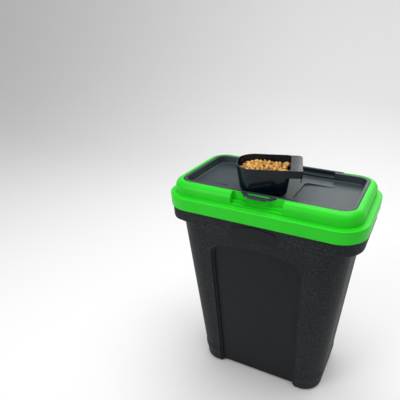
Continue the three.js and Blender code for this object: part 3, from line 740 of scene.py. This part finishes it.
def make_lid_frame():
    hollow = frame_hollow()
    cut(hollow, *recess_parts("recess_wall", WALL), hinge_cut("hinge_wall", WALL))
    cut(hollow, *ear_bosses())
    body = frame_form()
    cut(body, *recess_parts("recess", 0), loop_gate(), hinge_cut("hinge_cut", 0))
    cut(body, hollow, *ear_bores())
    body.name = "green_lid_frame"
    round_edges(body, FRAME_BEVEL, 3)
    return body


# ---------------------------------------------------------------- flap


def flap_form():
    low = TOP - FLAP_SKIRT
    steps = [(FLAP_FOOT, low), (0, low + FLAP_FOOT)]
    steps += arc((FLAP_EDGE, TOP - FLAP_EDGE), FLAP_EDGE, 180, 90, 4)
    return stack("flap_shell", FLAP_OUTLINE, steps)


def tray_space():
    """What the tray takes out of the flap: a filleted floor, leaning walls and a rounded upper edge."""
    wall = FLAP_RIM + TRAY_DRAFT
    lean = TRAY_DRAFT / TRAY_DEPTH
    steps = [(wall + TRAY_FILLET + x, TRAY + TRAY_FILLET + z)
             for x, z in arc((0, 0), TRAY_FILLET, 270, 188, 6)]
    steps.append((FLAP_RIM + lean * 1.6 * MM, TOP - 1.6 * MM))
    for out, rise in ((-0.05, -0.7), (0.4, -0.15), (1.1, 0.05), (1.1, 3)):
        steps.append((FLAP_RIM - out * MM, TOP + rise * MM))
    return stack("tray", FLAP_OUTLINE, steps)


def flap_underside():
    low = TOP - FLAP_SKIRT - 2 * MM
    inner = FLAP_RIM + TRAY_DRAFT - FLAP_WALL + 1 * MM
    channel = section_ring("channel", FLAP_OUTLINE, [
        (inner, low), (FLAP_WALL, low), (FLAP_WALL, TOP - FLAP_WALL),
        (FLAP_RIM - FLAP_WALL, TOP - FLAP_WALL), (inner - 1 * MM, TRAY),
    ])
    inset = inner - UNDER_OVERLAP
    under = stack("under", FLAP_OUTLINE, [(inset, low), (inset, TRAY - FLAP_WALL)])
    return channel, under


def pocket(name, grown, level, depth_shift):
    """The sloping pocket: deepest at its left edge, running out into the floor at its right."""
    centre_x = POCKET_START + POCKET_LENGTH / 2
    centre_y = (POCKET_LOW + POCKET_HIGH) / 2
    half_y = (POCKET_HIGH - POCKET_LOW) / 2 + grown
    outline = Outline(POCKET_LENGTH / 2 + grown, half_y, POCKET_ROUND + grown)
    rings = []
    for inset, lift in ((1.2 * MM, 0), (0.4 * MM, 0.35 * MM), (0, 1.1 * MM), (-0.5 * MM, None)):
        ring = []
        for point in outline.inset(inset).ring(0, 10):
            x, y = point.x + centre_x, point.y + centre_y
            share = min(1.0, max(0.0, 1 - (x - POCKET_START) / POCKET_LENGTH))
            floor = level - POCKET_DEPTH * share + depth_shift
            z = level + 1.5 * MM if lift is None else floor + lift
            ring.append(Vector((x, y, z)))
        rings.append(ring)
    return skin(name, rings, False)


def floor_notch():
    low_y = NOTCH_SIDE - NOTCH_BREADTH / 2
    end, above = NOTCH_START - NOTCH_LENGTH, TRAY + 1 * MM
    section = [(end, TRAY), (NOTCH_START, TRAY - NOTCH_DEPTH), (NOTCH_START, above), (end, above)]
    rings = [[Vector((x, y, z)) for x, z in section] for y in (low_y + NOTCH_BREADTH, low_y)]
    return skin("notch", rings, False)


def latch_loop():
    """The loop that a finger pulls: a tapered plate with a slot, and a lip turned down at its tip."""
    root = FLAP_FRONT + FLAP_WALL / 2
    tip = FLAP_FRONT - LOOP_REACH
    left = [(-LOOP_BASE, root), (-LOOP_BASE, FLAP_FRONT - LOOP_ROOT), (-LOOP_TIP, tip)]
    outline = left + [(-x, y) for x, y in reversed(left)]
    rings = [[Vector((x, y, z)) for x, y in outline] for z in (LOOP_TOP - LOOP_THICKNESS, LOOP_TOP)]
    plate = skin("loop", rings, False)
    slot_y = FLAP_FRONT - SLOT_SETBACK - SLOT_DEPTH
    slot_low = (-SLOT_HALF, slot_y, LOOP_TOP - 9 * MM)
    slot = box("slot", slot_low, (SLOT_HALF, slot_y + SLOT_DEPTH, TOP + PAST))
    lip_low = (-LIP_HALF, tip, LOOP_TOP - LIP_DROP)
    lip = box("lip", lip_low, (LIP_HALF, tip + FLAP_WALL, LOOP_TOP - 0.5 * MM))
    return cut(join(plate, lip), slot)


def back_edge():
    """Between the ears the back wall drops to a shelf, with a web that carries the hinge knuckle."""
    half = HINGE_HALF - SLIP
    inner = FLAP_BACK - FLAP_RIM - TRAY_DRAFT
    back = HINGE_Y + FLAP_WALL / 2
    shelf = box("shelf", (-half, inner, SHELF - FLAP_WALL), (half, back, SHELF))
    web = box("web", (-half, HINGE_Y - FLAP_WALL / 2, SHELF - 1 * MM), (half, back, HINGE_Z))
    return shelf, web, bar("knuckle", KNUCKLE, -half, half)


def back_opening():
    half = BACK_OPENING_HALF
    inner = FLAP_BACK - FLAP_RIM - TRAY_DRAFT - 1 * MM
    return box("back_opening", (-half, inner, SHELF), (half, FLAP_BACK + 1 * MM, TOP + PAST))


def knuckle_bores():
    outer = HINGE_HALF + BORE_PAST
    inner = HINGE_HALF - (PIN_LENGTH - PIN_IN_EAR) - PIN_PLAY
    return bars_at_both_ends("bore", PIN_RADIUS + PIN_PLAY, inner, outer)


def make_flap():
    body = flap_form()
    cut(body, tray_space(), *flap_underside())
    join(body, pocket("pocket_wall", FLAP_WALL, TRAY - 1.6 * MM, -0.8 * MM))
    cut(body, pocket("pocket", 0, TRAY, 0), floor_notch(), back_opening())
    join(body, *back_edge())
    join(body, latch_loop())
    cut(body, *knuckle_bores())
    body.name = "charcoal_flap"
    round_edges(body, FLAP_BEVEL, 2)
    return body


# ---------------------------------------------------------------- hinge pins and seals


def make_pin(name, side):
    """A pin with rounded ends, held in the ear and free in the knuckle."""
    inner = HINGE_HALF - (PIN_LENGTH - PIN_IN_EAR)
    rings = []
    for along, shrink in ((0, 0.5), (0.15, 0.22), (0.5, 0), (PIN_LENGTH / MM - 0.5, 0),
                          (PIN_LENGTH / MM - 0.15, 0.22), (PIN_LENGTH / MM, 0.5)):
        radius = PIN_RADIUS - shrink * MM
        x = side * (inner + along * MM)
        section = arc((HINGE_Y, HINGE_Z), radius, 0, side * 360, ROUND_STEPS)[:-1]
        rings.append([Vector((x, y, z)) for y, z in section])
    pin = skin(name, rings, False)
    shade(pin)
    return pin


def add_input(tree, name, kind, value=None):
    socket = tree.interface.new_socket(name=name, in_out="INPUT", socket_type=kind)
    if value is not None:
        socket.default_value = value
    return socket


class Tree:
    """A geometry node tree, built node by node."""

    def __init__(self, name):
        self.group = bpy.data.node_groups.new(name, "GeometryNodeTree")
        add_input(self.group, "Geometry", "NodeSocketGeometry")
        self.group.interface.new_socket(name="Geometry", in_out="OUTPUT", socket_type="NodeSocketGeometry")
        self.entry = self.group.nodes.new("NodeGroupInput")
        self.exit = self.group.nodes.new("NodeGroupOutput")

    def input(self, name, kind, value=None):
        add_input(self.group, name, kind, value)
        return self.entry.outputs[name]

    def node(self, kind, settings=None, inputs=None):
        node = self.group.nodes.new(kind)
        for key, value in (settings or {}).items():
            setattr(node, key, value)
        for key, value in (inputs or {}).items():
            values = value if isinstance(value, list) else [value]
            for one in values:
                if isinstance(one, bpy.types.NodeSocket):
                    self.group.links.new(one, node.inputs[key])
                else:
                    node.inputs[key].default_value = one
        return node

    def finish(self, geometry, material_socket):
        """Ends the tree in real geometry with its material."""
        realized = self.node("GeometryNodeRealizeInstances", inputs={"Geometry": geometry})
        painted = self.node("GeometryNodeSetMaterial", inputs={
            "Geometry": realized.outputs[0], "Material": material_socket})
        self.group.links.new(painted.outputs[0], self.exit.inputs[0])


def apply_tree(thing, tree, values):
    """Runs a tree on an object with named values, and keeps the result as a plain mesh."""
    modifier = thing.modifiers.new("tree", "NODES")
    modifier.node_group = tree.group
    for item in tree.group.interface.items_tree:
        if item.item_type == "SOCKET" and item.in_out == "INPUT" and item.name in values:
            modifier[item.identifier] = values[item.name]
    evaluated = thing.evaluated_get(bpy.context.evaluated_depsgraph_get())
    mesh = bpy.data.meshes.new_from_object(evaluated)
    made = bpy.data.objects.new(thing.name, mesh)
    bpy.context.scene.collection.objects.link(made)
    thing.modifiers.clear()
    return made


def cord_tree():
    """Sweeps a cord's oval section along the loop of edges that it is given."""
    tree = Tree("sealing_cord")
    width = tree.input("Width", "NodeSocketFloat")
    height = tree.input("Height", "NodeSocketFloat")
    sides = tree.input("Sides", "NodeSocketInt", CORD_SIDES)
    material = tree.input("Material", "NodeSocketMaterial")
    path = tree.node("GeometryNodeMeshToCurve", inputs={"Mesh": tree.entry.outputs["Geometry"]})
    circle = tree.node("GeometryNodeCurvePrimitiveCircle", inputs={
        "Resolution": sides, "Radius": 0.5})
    size = tree.node("ShaderNodeCombineXYZ", inputs={"X": width, "Y": height, "Z": 1.0})
    section = tree.node("GeometryNodeTransform", inputs={
        "Geometry": circle.outputs["Curve"], "Scale": size.outputs[0]})
    upright = tree.node("GeometryNodeSetCurveNormal", {"mode": "Z_UP"}, {"Curve": path.outputs[0]})
    swept = tree.node("GeometryNodeCurveToMesh", inputs={
        "Curve": upright.outputs[0], "Profile Curve": section.outputs[0]})
    smooth = tree.node("GeometryNodeSetShadeSmooth", inputs={"Geometry": swept.outputs[0]})
    tree.finish(smooth.outputs[0], material)
    return tree


def make_seal(name, outline, low, high, width, tree, material):
    level = (low + high) / 2
    ring = outline.ring(level)
    mesh = bpy.data.meshes.new(name)
    edges = [(i, (i + 1) % len(ring)) for i in range(len(ring))]
    mesh.from_pydata([tuple(point) for point in ring], edges, [])
    path = bpy.data.objects.new(name, mesh)
    bpy.context.scene.collection.objects.link(path)
    seal = apply_tree(path, tree, {
        "Width": width, "Height": high - low, "Sides": CORD_SIDES, "Material": material})
    remove(path)
    seal.name = name
    return seal


# ---------------------------------------------------------------- scoop


def cup(name, margin, top):
    """The cup's form: a rounded bottom, then walls leaning out to the rim."""
    radius = SCOOP_BOTTOM - margin
    steps = []
    for x, z in arc((0, 0), radius, 276, 180, 12):
        steps.append((SCOOP_DRAFT + margin + radius + x, margin + radius + z))
    steps[0] = (steps[0][0], margin)
    for share in (0.33, 0.66, 0.96):
        level = SCOOP_BOTTOM + (SCOOP_HEIGHT - SCOOP_BOTTOM) * share
        steps.append((margin + SCOOP_DRAFT * (1 - share), level))
    steps += [(margin, SCOOP_HEIGHT - 0.6 * MM), (margin, top)]
    return stack(name, SCOOP_OUTLINE, steps)


def grip_block(name, margin, low, high, top_round):
    """The grip's form: a block with a wide round at its back corner and a rounded top edge."""
    start = SCOOP_HALF[0] - GRIP_ROOT + margin
    end = SCOOP_HALF[0] + GRIP_REACH - margin
    half = GRIP_HALF - margin
    rings = []
    for inset, level in [(0, low)] + arc((top_round, high - top_round), top_round, 180, 90, 4):
        ring = [Vector((start, half - inset, level)), Vector((start, inset - half, level))]
        for sign, radius, first in ((-1, GRIP_FRONT_ROUND, 270), (1, GRIP_BACK_ROUND, 0)):
            radius -= margin * 0.9
            centre = (end - radius, sign * (half - radius))
            for x, y in arc(centre, radius - inset, first, first + 90, 8):
                ring.append(Vector((x, y, level)))
        rings.append(ring)
    return skin(name, rings, False)


def scoop_grip():
    """The flat grip with its flange turned down, and one rib at its front corner."""
    low = SCOOP_HEIGHT - GRIP_FLANGE
    outside = grip_block("grip", 0, low, SCOOP_HEIGHT, 1.2 * MM)
    inside = grip_block("grip_inside", GRIP_WALL, low - 5 * MM, SCOOP_HEIGHT - GRIP_WALL, 0.6 * MM)
    rib_x = SCOOP_HALF[0] + GRIP_REACH - GRIP_FRONT_ROUND * 0.35
    rib_y = -GRIP_HALF + GRIP_FRONT_ROUND * 0.35
    rib_low = (rib_x - RIB_DEEP, rib_y, SCOOP_HEIGHT - GRIP_RIB)
    rib = box("rib", rib_low, (rib_x, rib_y + RIB_WIDE, low + 2 * MM))
    return join(cut(outside, inside), rib)


def place_on_tray(thing):
    thing.data.transform(Matrix.Translation(SCOOP_PLACE) @ Matrix.Rotation(SCOOP_TURN, 4, "Z"))
    return thing


def make_scoop():
    body = cup("measuring_scoop", 0, SCOOP_HEIGHT)
    join(body, scoop_grip())
    cut(body, cup("cup_inside", SCOOP_WALL, SCOOP_HEIGHT + 4 * MM))
    round_edges(body, SCOOP_BEVEL, 2)
    return place_on_tray(body)


# ---------------------------------------------------------------- kibble

KIBBLE_ACROSS = 11 * MM
KIBBLE_SPACING = 9.4 * MM
HEAP_EDGE = 17 * MM
HEAP_RISE = 8 * MM
HEAP_BACK_DROP = 3 * MM
HEAP_INSET = 8.5 * MM
BED_DROP = 9 * MM
KIBBLE_LAYERS = (0, 5.5 * MM, 11 * MM)
KIBBLE_SEED = 4
KIBBLE_DENSITY = 60000.0
KIBBLE_SHAPES = 4
KIBBLE_LUMPS = 0.85
KIBBLE_SIZES = (0.82, 1.12)
ANY_TURN = (6.28, 6.28, 6.28)


def heap_height(x, y):
    """How high the kibble lies at a place in the cup: a low uneven heap, fuller towards the front."""
    across = (x / SCOOP_HALF[0]) ** 2 + (y / SCOOP_HALF[1]) ** 2
    swell = HEAP_RISE * max(0.0, 1 - across)
    uneven = 1.6 * MM * math.sin(x / (13 * MM)) * math.cos(y / (17 * MM) + 0.8)
    return SCOOP_HEIGHT - HEAP_EDGE + swell + uneven - HEAP_BACK_DROP * y / SCOOP_HALF[1]


def heap_sheet(name, drops):
    """Open sheets over the heap, one for each layer of pieces, as grids of rings round the middle."""
    points, faces = [], []
    rings_across = 10
    for drop in drops:
        start = len(points)
        outline = SCOOP_OUTLINE.inset(HEAP_INSET + drop * 0.15)
        edge = outline.ring(0, 8)
        count = len(edge)
        for ring in range(1, rings_across + 1):
            for point in edge:
                x, y = point.x * ring / rings_across, point.y * ring / rings_across
                points.append(Vector((x, y, heap_height(x, y) - drop)))
        for ring in range(rings_across - 1):
            for side in range(count):
                low = start + ring * count
                after = (side + 1) % count
                faces.append((low + side, low + after, low + count + after, low + count + side))
        faces.append(tuple(range(start, start + count)))
    return new_object(name, points, faces)


def kibble_tree():
    """Scatters rough biscuits over the sheets it is given, each with its own turn, size and tone."""
    tree = Tree("kibble_heap")
    spacing = tree.input("Spacing", "NodeSocketFloat")
    across = tree.input("Across", "NodeSocketFloat")
    seed = tree.input("Seed", "NodeSocketInt", KIBBLE_SEED)
    material = tree.input("Material", "NodeSocketMaterial")
    places = tree.node("GeometryNodeDistributePointsOnFaces", {"distribute_method": "POISSON"}, {
        "Mesh": tree.entry.outputs["Geometry"], "Distance Min": spacing,
        "Density Max": KIBBLE_DENSITY, "Seed": seed})
    shapes = tree.node("GeometryNodeJoinGeometry")
    for variant in range(KIBBLE_SHAPES):
        ball = tree.node("GeometryNodeMeshIcoSphere", inputs={"Radius": 0.5, "Subdivisions": 3})
        noise = tree.node("ShaderNodeTexNoise", {"noise_dimensions": "4D"}, {
            "W": 3.7 * variant, "Scale": 2.6, "Detail": 1.5})
        push = tree.node("ShaderNodeVectorMath", {"operation": "SUBTRACT"}, {
            0: noise.outputs["Color"], 1: (0.5, 0.5, 0.5)})
        scaled = tree.node("ShaderNodeVectorMath", {"operation": "SCALE"}, {
            0: push.outputs[0], "Scale": KIBBLE_LUMPS})
        rough = tree.node("GeometryNodeSetPosition", inputs={
            "Geometry": ball.outputs["Mesh"], "Offset": scaled.outputs[0]})
        flat = (1.0, 0.92 - 0.05 * variant, 0.62 + 0.07 * variant)
        squashed = tree.node("GeometryNodeTransform", inputs={
            "Geometry": rough.outputs[0], "Scale": flat})
        single = tree.node("GeometryNodeGeometryToInstance", inputs={"Geometry": squashed.outputs[0]})
        tree.group.links.new(single.outputs[0], shapes.inputs[0])
    turn = tree.node("FunctionNodeRandomValue", {"data_type": "FLOAT_VECTOR"}, {
        "Max": ANY_TURN, "Seed": 11})
    size = tree.node("FunctionNodeRandomValue", {"data_type": "FLOAT"}, {
        2: KIBBLE_SIZES[0], 3: KIBBLE_SIZES[1], "Seed": 12})
    across_each = tree.node("ShaderNodeMath", {"operation": "MULTIPLY"}, {
        0: size.outputs[1], 1: across})
    pieces = tree.node("GeometryNodeInstanceOnPoints", inputs={
        "Points": places.outputs["Points"], "Instance": shapes.outputs[0], "Pick Instance": True,
        "Rotation": turn.outputs[0], "Scale": across_each.outputs[0]})
    tone = tree.node("FunctionNodeRandomValue", {"data_type": "FLOAT"}, {2: 0.0, 3: 1.0, "Seed": 13})
    kind = {"data_type": "FLOAT", "domain": "INSTANCE"}
    toned = tree.node("GeometryNodeStoreNamedAttribute", kind, {
        "Geometry": pieces.outputs[0], "Name": "tone", "Value": tone.outputs[1]})
    smooth = tree.node("GeometryNodeSetShadeSmooth", inputs={"Geometry": toned.outputs[0]})
    tree.finish(smooth.outputs[0], material)
    return tree


def make_kibble(material):
    sheets = heap_sheet("kibble", KIBBLE_LAYERS)
    heap = apply_tree(sheets, kibble_tree(), {
        "Spacing": KIBBLE_SPACING, "Across": KIBBLE_ACROSS, "Seed": KIBBLE_SEED,
        "Material": material})
    remove(sheets)
    heap.name = "kibble"
    return place_on_tray(heap)


def make_kibble_bed():
    """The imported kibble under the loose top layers, as one closed body filling the cup."""
    outline = SCOOP_OUTLINE.inset(HEAP_INSET + BED_DROP * 0.15)
    rings = [outline.inset(12 * MM).ring(SCOOP_WALL + 1.5 * MM, 8),
             outline.inset(3 * MM).ring(SCOOP_BOTTOM * 0.6, 8)]
    edge = outline.ring(0, 8)
    for share in (1, 0.75, 0.5, 0.25):
        places = [(point.x * share, point.y * share) for point in edge]
        rings.append([Vector((x, y, heap_height(x, y) - BED_DROP)) for x, y in places])
    bed = skin("kibble_bed", rings, False)
    shade(bed, 60)
    return place_on_tray(bed)


# ---------------------------------------------------------------- finishes


class Value:
    """A socket of a finish, with the arithmetic that the finishes use."""

    def __init__(self, finish, socket):
        self.finish, self.socket = finish, socket

    def _math(self, operation, first, second):
        return self.finish.node("ShaderNodeMath", {"operation": operation}, {0: first, 1: second})

    def __add__(self, other):
        return self._math("ADD", self, other)

    def __radd__(self, other):
        return self._math("ADD", other, self)

    def __sub__(self, other):
        return self._math("SUBTRACT", self, other)

    def __rsub__(self, other):
        return self._math("SUBTRACT", other, self)

    def __mul__(self, other):
        return self._math("MULTIPLY", self, other)

    def __rmul__(self, other):
        return self._math("MULTIPLY", other, self)

    def held(self, low, high):
        return self._math("MINIMUM", self._math("MAXIMUM", self, low), high)


class Finish:
    """A material with its shader, built from procedural nodes in the object's own coordinates."""

    def __init__(self, name, **fixed):
        self.material = bpy.data.materials.new(name)
        self.material.use_nodes = True
        self.tree = self.material.node_tree
        self.tree.nodes.clear()
        self.shader = self.tree.nodes.new("ShaderNodeBsdfPrincipled")
        out = self.tree.nodes.new("ShaderNodeOutputMaterial")
        self.tree.links.new(self.shader.outputs[0], out.inputs[0])
        self.place = self.node("ShaderNodeTexCoord", output="Object")
        for key, value in fixed.items():
            self.shader.inputs[key.replace("_", " ")].default_value = value

    def node(self, kind, settings=None, inputs=None, output=0):
        """Any node: its settings first, then the values or links of its sockets."""
        node = self.tree.nodes.new(kind)
        for key, value in (settings or {}).items():
            if key == "stops":
                ramp = node.color_ramp
                while len(ramp.elements) < len(value):
                    ramp.elements.new(0.5)
                for element, (position, colour) in zip(ramp.elements, value):
                    element.position = position
                    element.color = (*colour, 1.0)
            else:
                setattr(node, key, value)
        for key, value in (inputs or {}).items():
            if isinstance(value, Value):
                self.tree.links.new(value.socket, node.inputs[key])
            else:
                node.inputs[key].default_value = value
        return Value(self, node.outputs[output])

    def link(self, name, value):
        self.tree.links.new(value.socket, self.shader.inputs[name])

    def noise(self, feature, detail=2.0, roughness=0.5):
        """Noise from 0 to 1 whose blobs are about one feature across, in metres."""
        return self.node("ShaderNodeTexNoise", {}, {
            "Vector": self.place, "Scale": 1 / feature, "Detail": detail,
            "Roughness": roughness}, "Fac")

    def ramp(self, share, stops):
        return self.node("ShaderNodeValToRGB", {"stops": stops}, {"Fac": share}, "Color")

    def bump(self, *layers):
        """Bump made of (height, distance, strength) layers, each laid over the one before."""
        normal = None
        for height, distance, strength in layers:
            inputs = {"Height": height, "Distance": distance, "Strength": strength}
            if normal:
                inputs["Normal"] = normal
            normal = self.node("ShaderNodeBump", {}, inputs, "Normal")
        self.link("Normal", normal)


def grained_black():
    """Spark-eroded black moulding: a fine leathery grain, paler on its raised specks."""
    finish = Finish("tub_grained_black", IOR=1.46, Specular_IOR_Level=0.17)
    grain = finish.noise(3.2 * MM, 4.0, 0.68)
    pits = finish.noise(0.8 * MM, 1.0)
    cloud = finish.noise(60 * MM, 2.0)
    fleck = (grain - 0.5) * 3.4 + 0.5
    finish.link("Base Color", finish.ramp(fleck.held(0.0, 1.0) * 0.8 + cloud * 0.2, (
        (0.0, (0.0035, 0.0045, 0.0052)), (0.5, (0.0105, 0.0130, 0.0148)), (1.0, (0.044, 0.049, 0.053)))))
    finish.link("Roughness", (0.38 + 0.3 * grain + 0.06 * cloud).held(0.3, 0.8))
    finish.bump((grain, 0.5 * MM, 0.6), (pits, 0.12 * MM, 0.4))
    return finish.material


def smooth_black():
    """The same black on the polished panels and pad: nearly plain, with faint flow marks."""
    finish = Finish("tub_smooth_black", IOR=1.46, Specular_IOR_Level=0.17)
    cloud = finish.noise(45 * MM, 3.0)
    fine = finish.noise(1.1 * MM, 2.0)
    finish.link("Base Color", finish.ramp(cloud, (
        (0.2, (0.0070, 0.0085, 0.0095)), (0.8, (0.0100, 0.0118, 0.0130)))))
    finish.link("Roughness", 0.40 + 0.08 * cloud + 0.05 * fine)
    finish.bump((fine, 0.04 * MM, 0.25))
    return finish.material


def satin_green():
    """Bright green moulding with a soft satin skin and the faintest waviness."""
    finish = Finish("frame_green", IOR=1.49, Specular_IOR_Level=0.28)
    cloud = finish.noise(70 * MM, 2.0)
    fine = finish.noise(1.2 * MM, 2.0)
    finish.link("Base Color", finish.ramp(cloud, (
        (0.25, (0.010, 0.58, 0.008)), (0.75, (0.017, 0.65, 0.013)))))
    finish.link("Roughness", 0.33 + 0.08 * cloud + 0.05 * fine)
    finish.bump((cloud, 0.5 * MM, 0.12), (fine, 0.03 * MM, 0.3))
    return finish.material


def satin_charcoal():
    """Charcoal moulding of the flap: blue-grey sheen, fine matt grain and faint handling scuffs."""
    finish = Finish("flap_charcoal", IOR=1.5, Specular_IOR_Level=0.4)
    cloud = finish.noise(40 * MM, 3.0)
    fine = finish.noise(0.9 * MM, 2.0)
    scuff = finish.noise(6 * MM, 4.0, 0.7)
    finish.link("Base Color", finish.ramp(cloud, (
        (0.2, (0.019, 0.032, 0.038)), (0.8, (0.026, 0.041, 0.048)))))
    finish.link("Roughness", (0.30 + 0.10 * cloud + 0.08 * scuff).held(0.25, 0.6))
    finish.bump((fine, 0.04 * MM, 0.35))
    return finish.material


def gloss_navy():
    """Near-black blue scoop plastic, polished, with a very slight ripple in its gloss."""
    finish = Finish("scoop_gloss_navy", IOR=1.52, Specular_IOR_Level=0.22, Coat_Roughness=0.08)
    cloud = finish.noise(30 * MM, 2.0)
    fine = finish.noise(2.5 * MM, 2.0)
    finish.link("Base Color", finish.ramp(cloud, (
        (0.2, (0.001, 0.004, 0.010)), (0.8, (0.002, 0.007, 0.014)))))
    finish.link("Roughness", 0.15 + 0.07 * fine)
    finish.link("Coat Weight", (0.04 + 0.08 * cloud).held(0.0, 1.0))
    finish.bump((cloud, 0.6 * MM, 0.1))
    return finish.material


def seal_rubber():
    finish = Finish("seal_black_rubber", IOR=1.5, Specular_IOR_Level=0.3)
    fine = finish.noise(1.4 * MM, 3.0)
    finish.link("Base Color", finish.ramp(fine, (
        (0.2, (0.010, 0.010, 0.011)), (0.8, (0.020, 0.020, 0.021)))))
    finish.link("Roughness", 0.68 + 0.15 * fine)
    finish.bump((fine, 0.06 * MM, 0.4))
    return finish.material


def pin_plastic():
    finish = Finish("pin_dark_plastic", IOR=1.5, Specular_IOR_Level=0.5)
    fine = finish.noise(0.8 * MM, 3.0)
    finish.link("Base Color", finish.ramp(fine, (
        (0.2, (0.022, 0.025, 0.028)), (0.8, (0.034, 0.038, 0.042)))))
    finish.link("Roughness", 0.34 + 0.14 * fine)
    finish.bump((fine, 0.04 * MM, 0.3))
    return finish.material


def baked_kibble():
    """Golden-brown biscuit: each piece its own tone, a crumbly skin and darker baked patches."""
    finish = Finish("kibble_baked", IOR=1.45, Specular_IOR_Level=0.3)
    tone = finish.node("ShaderNodeAttribute", {"attribute_name": "tone"}, output="Fac")
    patch = finish.noise(3.2 * MM, 4.0, 0.65)
    crumb = finish.noise(0.9 * MM, 3.0, 0.7)
    share = (tone * 0.5 + patch * 0.75 - 0.12).held(0.0, 1.0)
    finish.link("Base Color", finish.ramp(share, (
        (0.0, (0.22, 0.095, 0.024)), (0.4, (0.50, 0.26, 0.065)), (0.7, (0.74, 0.43, 0.12)),
        (1.0, (0.88, 0.60, 0.23)))))
    finish.link("Roughness", (0.62 + 0.25 * crumb).held(0.4, 0.95))
    finish.bump((patch, 0.9 * MM, 0.6), (crumb, 0.25 * MM, 0.5))
    return finish.material


def kibble_bed_painted_shade():
    finish = Finish("kibble_bed_shade", IOR=1.45, Specular_IOR_Level=0.2)
    patch = finish.noise(5 * MM, 4.0, 0.7)
    # Painted shade: the bed's brown is darkened to stand for the shade in the gaps between the loose pieces
    # above it.
    finish.link("Base Color", finish.ramp(patch, ((0.3, (0.05, 0.02, 0.007)), (0.7, (0.20, 0.085, 0.024)))))
    finish.link("Roughness", 0.75 + 0.15 * patch)
    finish.bump((patch, 2.0 * MM, 0.8))
    return finish.material


# ---------------------------------------------------------------- assembly


def paint(thing, *materials):
    thing.data.materials.clear()
    for material in materials:
        thing.data.materials.append(material)
    return thing


def polish_panels(tub):
    """Gives the second finish to the faces of the two panels and of the front pad."""
    half = tub_outline(0).half_x - tub_outline(0).radius - PANEL_MARGIN
    for face in tub.data.polygons:
        x, y, z = face.center
        wall = tub_outline(z).half_y
        sunk = wall - abs(y)
        low_enough = abs(x) < half and z < PANEL_TOP + PANEL_CROWN
        in_panel = low_enough and 0.3 * MM < sunk < PANEL_DEPTH + 1.5 * MM
        over_panel = abs(x) < PAD_HALF and PAD_TOP - PAD_HEIGHT < z < PAD_TOP + PAD_CROWN
        on_pad = over_panel and y < -wall - 0.05 * MM
        outside = face.normal.y * y > 0 or abs(face.normal.y) < 0.9
        face.material_index = 1 if (in_panel or on_pad) and outside else 0


def add(thing, body, slot_name=None, *nodes):
    if nodes:
        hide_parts(*nodes)
    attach(thing, body)


def build_object():
    tub = paint(make_tub(), grained_black(), smooth_black())
    polish_panels(tub)
    add(tub, "bin", "tub_plastic", "bin_body")
    lid = paint(make_lid_frame(), satin_green())
    add(lid, "lid", "frame_plastic", "lid_frame")
    door = paint(make_flap(), satin_charcoal())
    add(door, "flap_assembly", "flap_plastic", "flap")
    pin_finish = pin_plastic()
    for side, name in ((-1, "left"), (1, "right")):
        pin = paint(make_pin("pin_" + name, side), pin_finish)
        add(pin, "lid", "pin_plastic", "hinge_pin_" + name)
    rubber = seal_rubber()
    cord = cord_tree()
    rim_path = FRAME_OUTLINE.inset(RIM_CORD_INSET + RIM_CORD_WIDTH / 2)
    rim_cord = make_seal("rim_cord", rim_path, RIM_SEAL_LOW.z, RIM_SEAL_HIGH.z,
                         RIM_CORD_WIDTH, cord, rubber)
    add(rim_cord, "bin", "seal_rubber", "rim_seal")
    flap_path = FLAP_OUTLINE.inset(FLAP_WALL + SLIP + FLAP_CORD_WIDTH / 2)
    flap_cord = make_seal("flap_cord", flap_path, FLAP_SEAL_LOW.z, FLAP_SEAL_HIGH.z,
                          FLAP_CORD_WIDTH, cord, rubber)
    add(flap_cord, "flap_assembly", "seal_rubber", "flap_seal")
    scoop = paint(make_scoop(), gloss_navy())
    add(scoop, "scoop_body", "scoop_plastic", "scoop")
    add(make_kibble(baked_kibble()), "scoop_body")
    # The bed wears a kibble brown darkened as painted shade for the gaps between the loose pieces.
    add(paint(make_kibble_bed(), kibble_bed_painted_shade()), "scoop_body")


# ---------------------------------------------------------------- stage

SWEEP_START = 1.2
SWEEP_RADIUS = 1.6
WORLD_STRENGTH = 0.45
FLOOR_REACH = 9.0
FLOOR_PALE = (0.88, 0.88, 0.88, 1.0)

# Each light's name, place, target, size and power.
MIDDLE = (0.0, 0.0, 0.35)
LIGHTS = (("overhead", (0.1, 0.2, 2.7), MIDDLE, (2.2, 1.6), 44),
          ("front_left", (-1.3, -2.0, 1.7), MIDDLE, (1.2, 1.2), 20),
          ("back_sheen", (0.3, 1.6, 1.45), (0.1, 0.0, 0.6), (1.6, 0.7), 7))


def make_floor():
    """A pale floor that sweeps up behind the bin, with nothing on it."""
    finish = Finish("pale_floor", Roughness=0.9)
    finish.shader.inputs["Base Color"].default_value = FLOOR_PALE
    finish.shader.inputs["Specular IOR Level"].default_value = 0.1
    sweep = [(-FLOOR_REACH, 0.0)] + arc((SWEEP_START, SWEEP_RADIUS), SWEEP_RADIUS, 270, 360, 24)
    sweep.append((SWEEP_START + SWEEP_RADIUS, FLOOR_REACH))
    points = [(side * FLOOR_REACH, y, z) for side in (-1, 1) for y, z in sweep]
    count = len(sweep)
    faces = [(i, count + i, count + i + 1, i + 1) for i in range(count - 1)]
    floor = new_object("floor", points, faces)
    floor.data.shade_smooth()
    floor.data.materials.append(finish.material)


def add_light(name, place, target, size, power):
    data = bpy.data.lights.new(name, "AREA")
    data.shape = "RECTANGLE"
    data.size, data.size_y = size
    data.energy = power
    light = bpy.data.objects.new(name, data)
    light.location = place
    light.rotation_euler = (Vector(target) - Vector(place)).to_track_quat("-Z", "Y").to_euler()
    bpy.context.scene.collection.objects.link(light)


def make_lights():
    world = bpy.data.worlds.new("studio")
    world.use_nodes = True
    background = world.node_tree.nodes["Background"]
    background.inputs["Color"].default_value = (1.0, 1.0, 1.0, 1.0)
    background.inputs["Strength"].default_value = WORLD_STRENGTH
    bpy.context.scene.world = world
    for light in LIGHTS:
        add_light(*light)


bpy.context.scene.view_settings.view_transform = "Standard"
build_object()
make_floor()
make_lights()
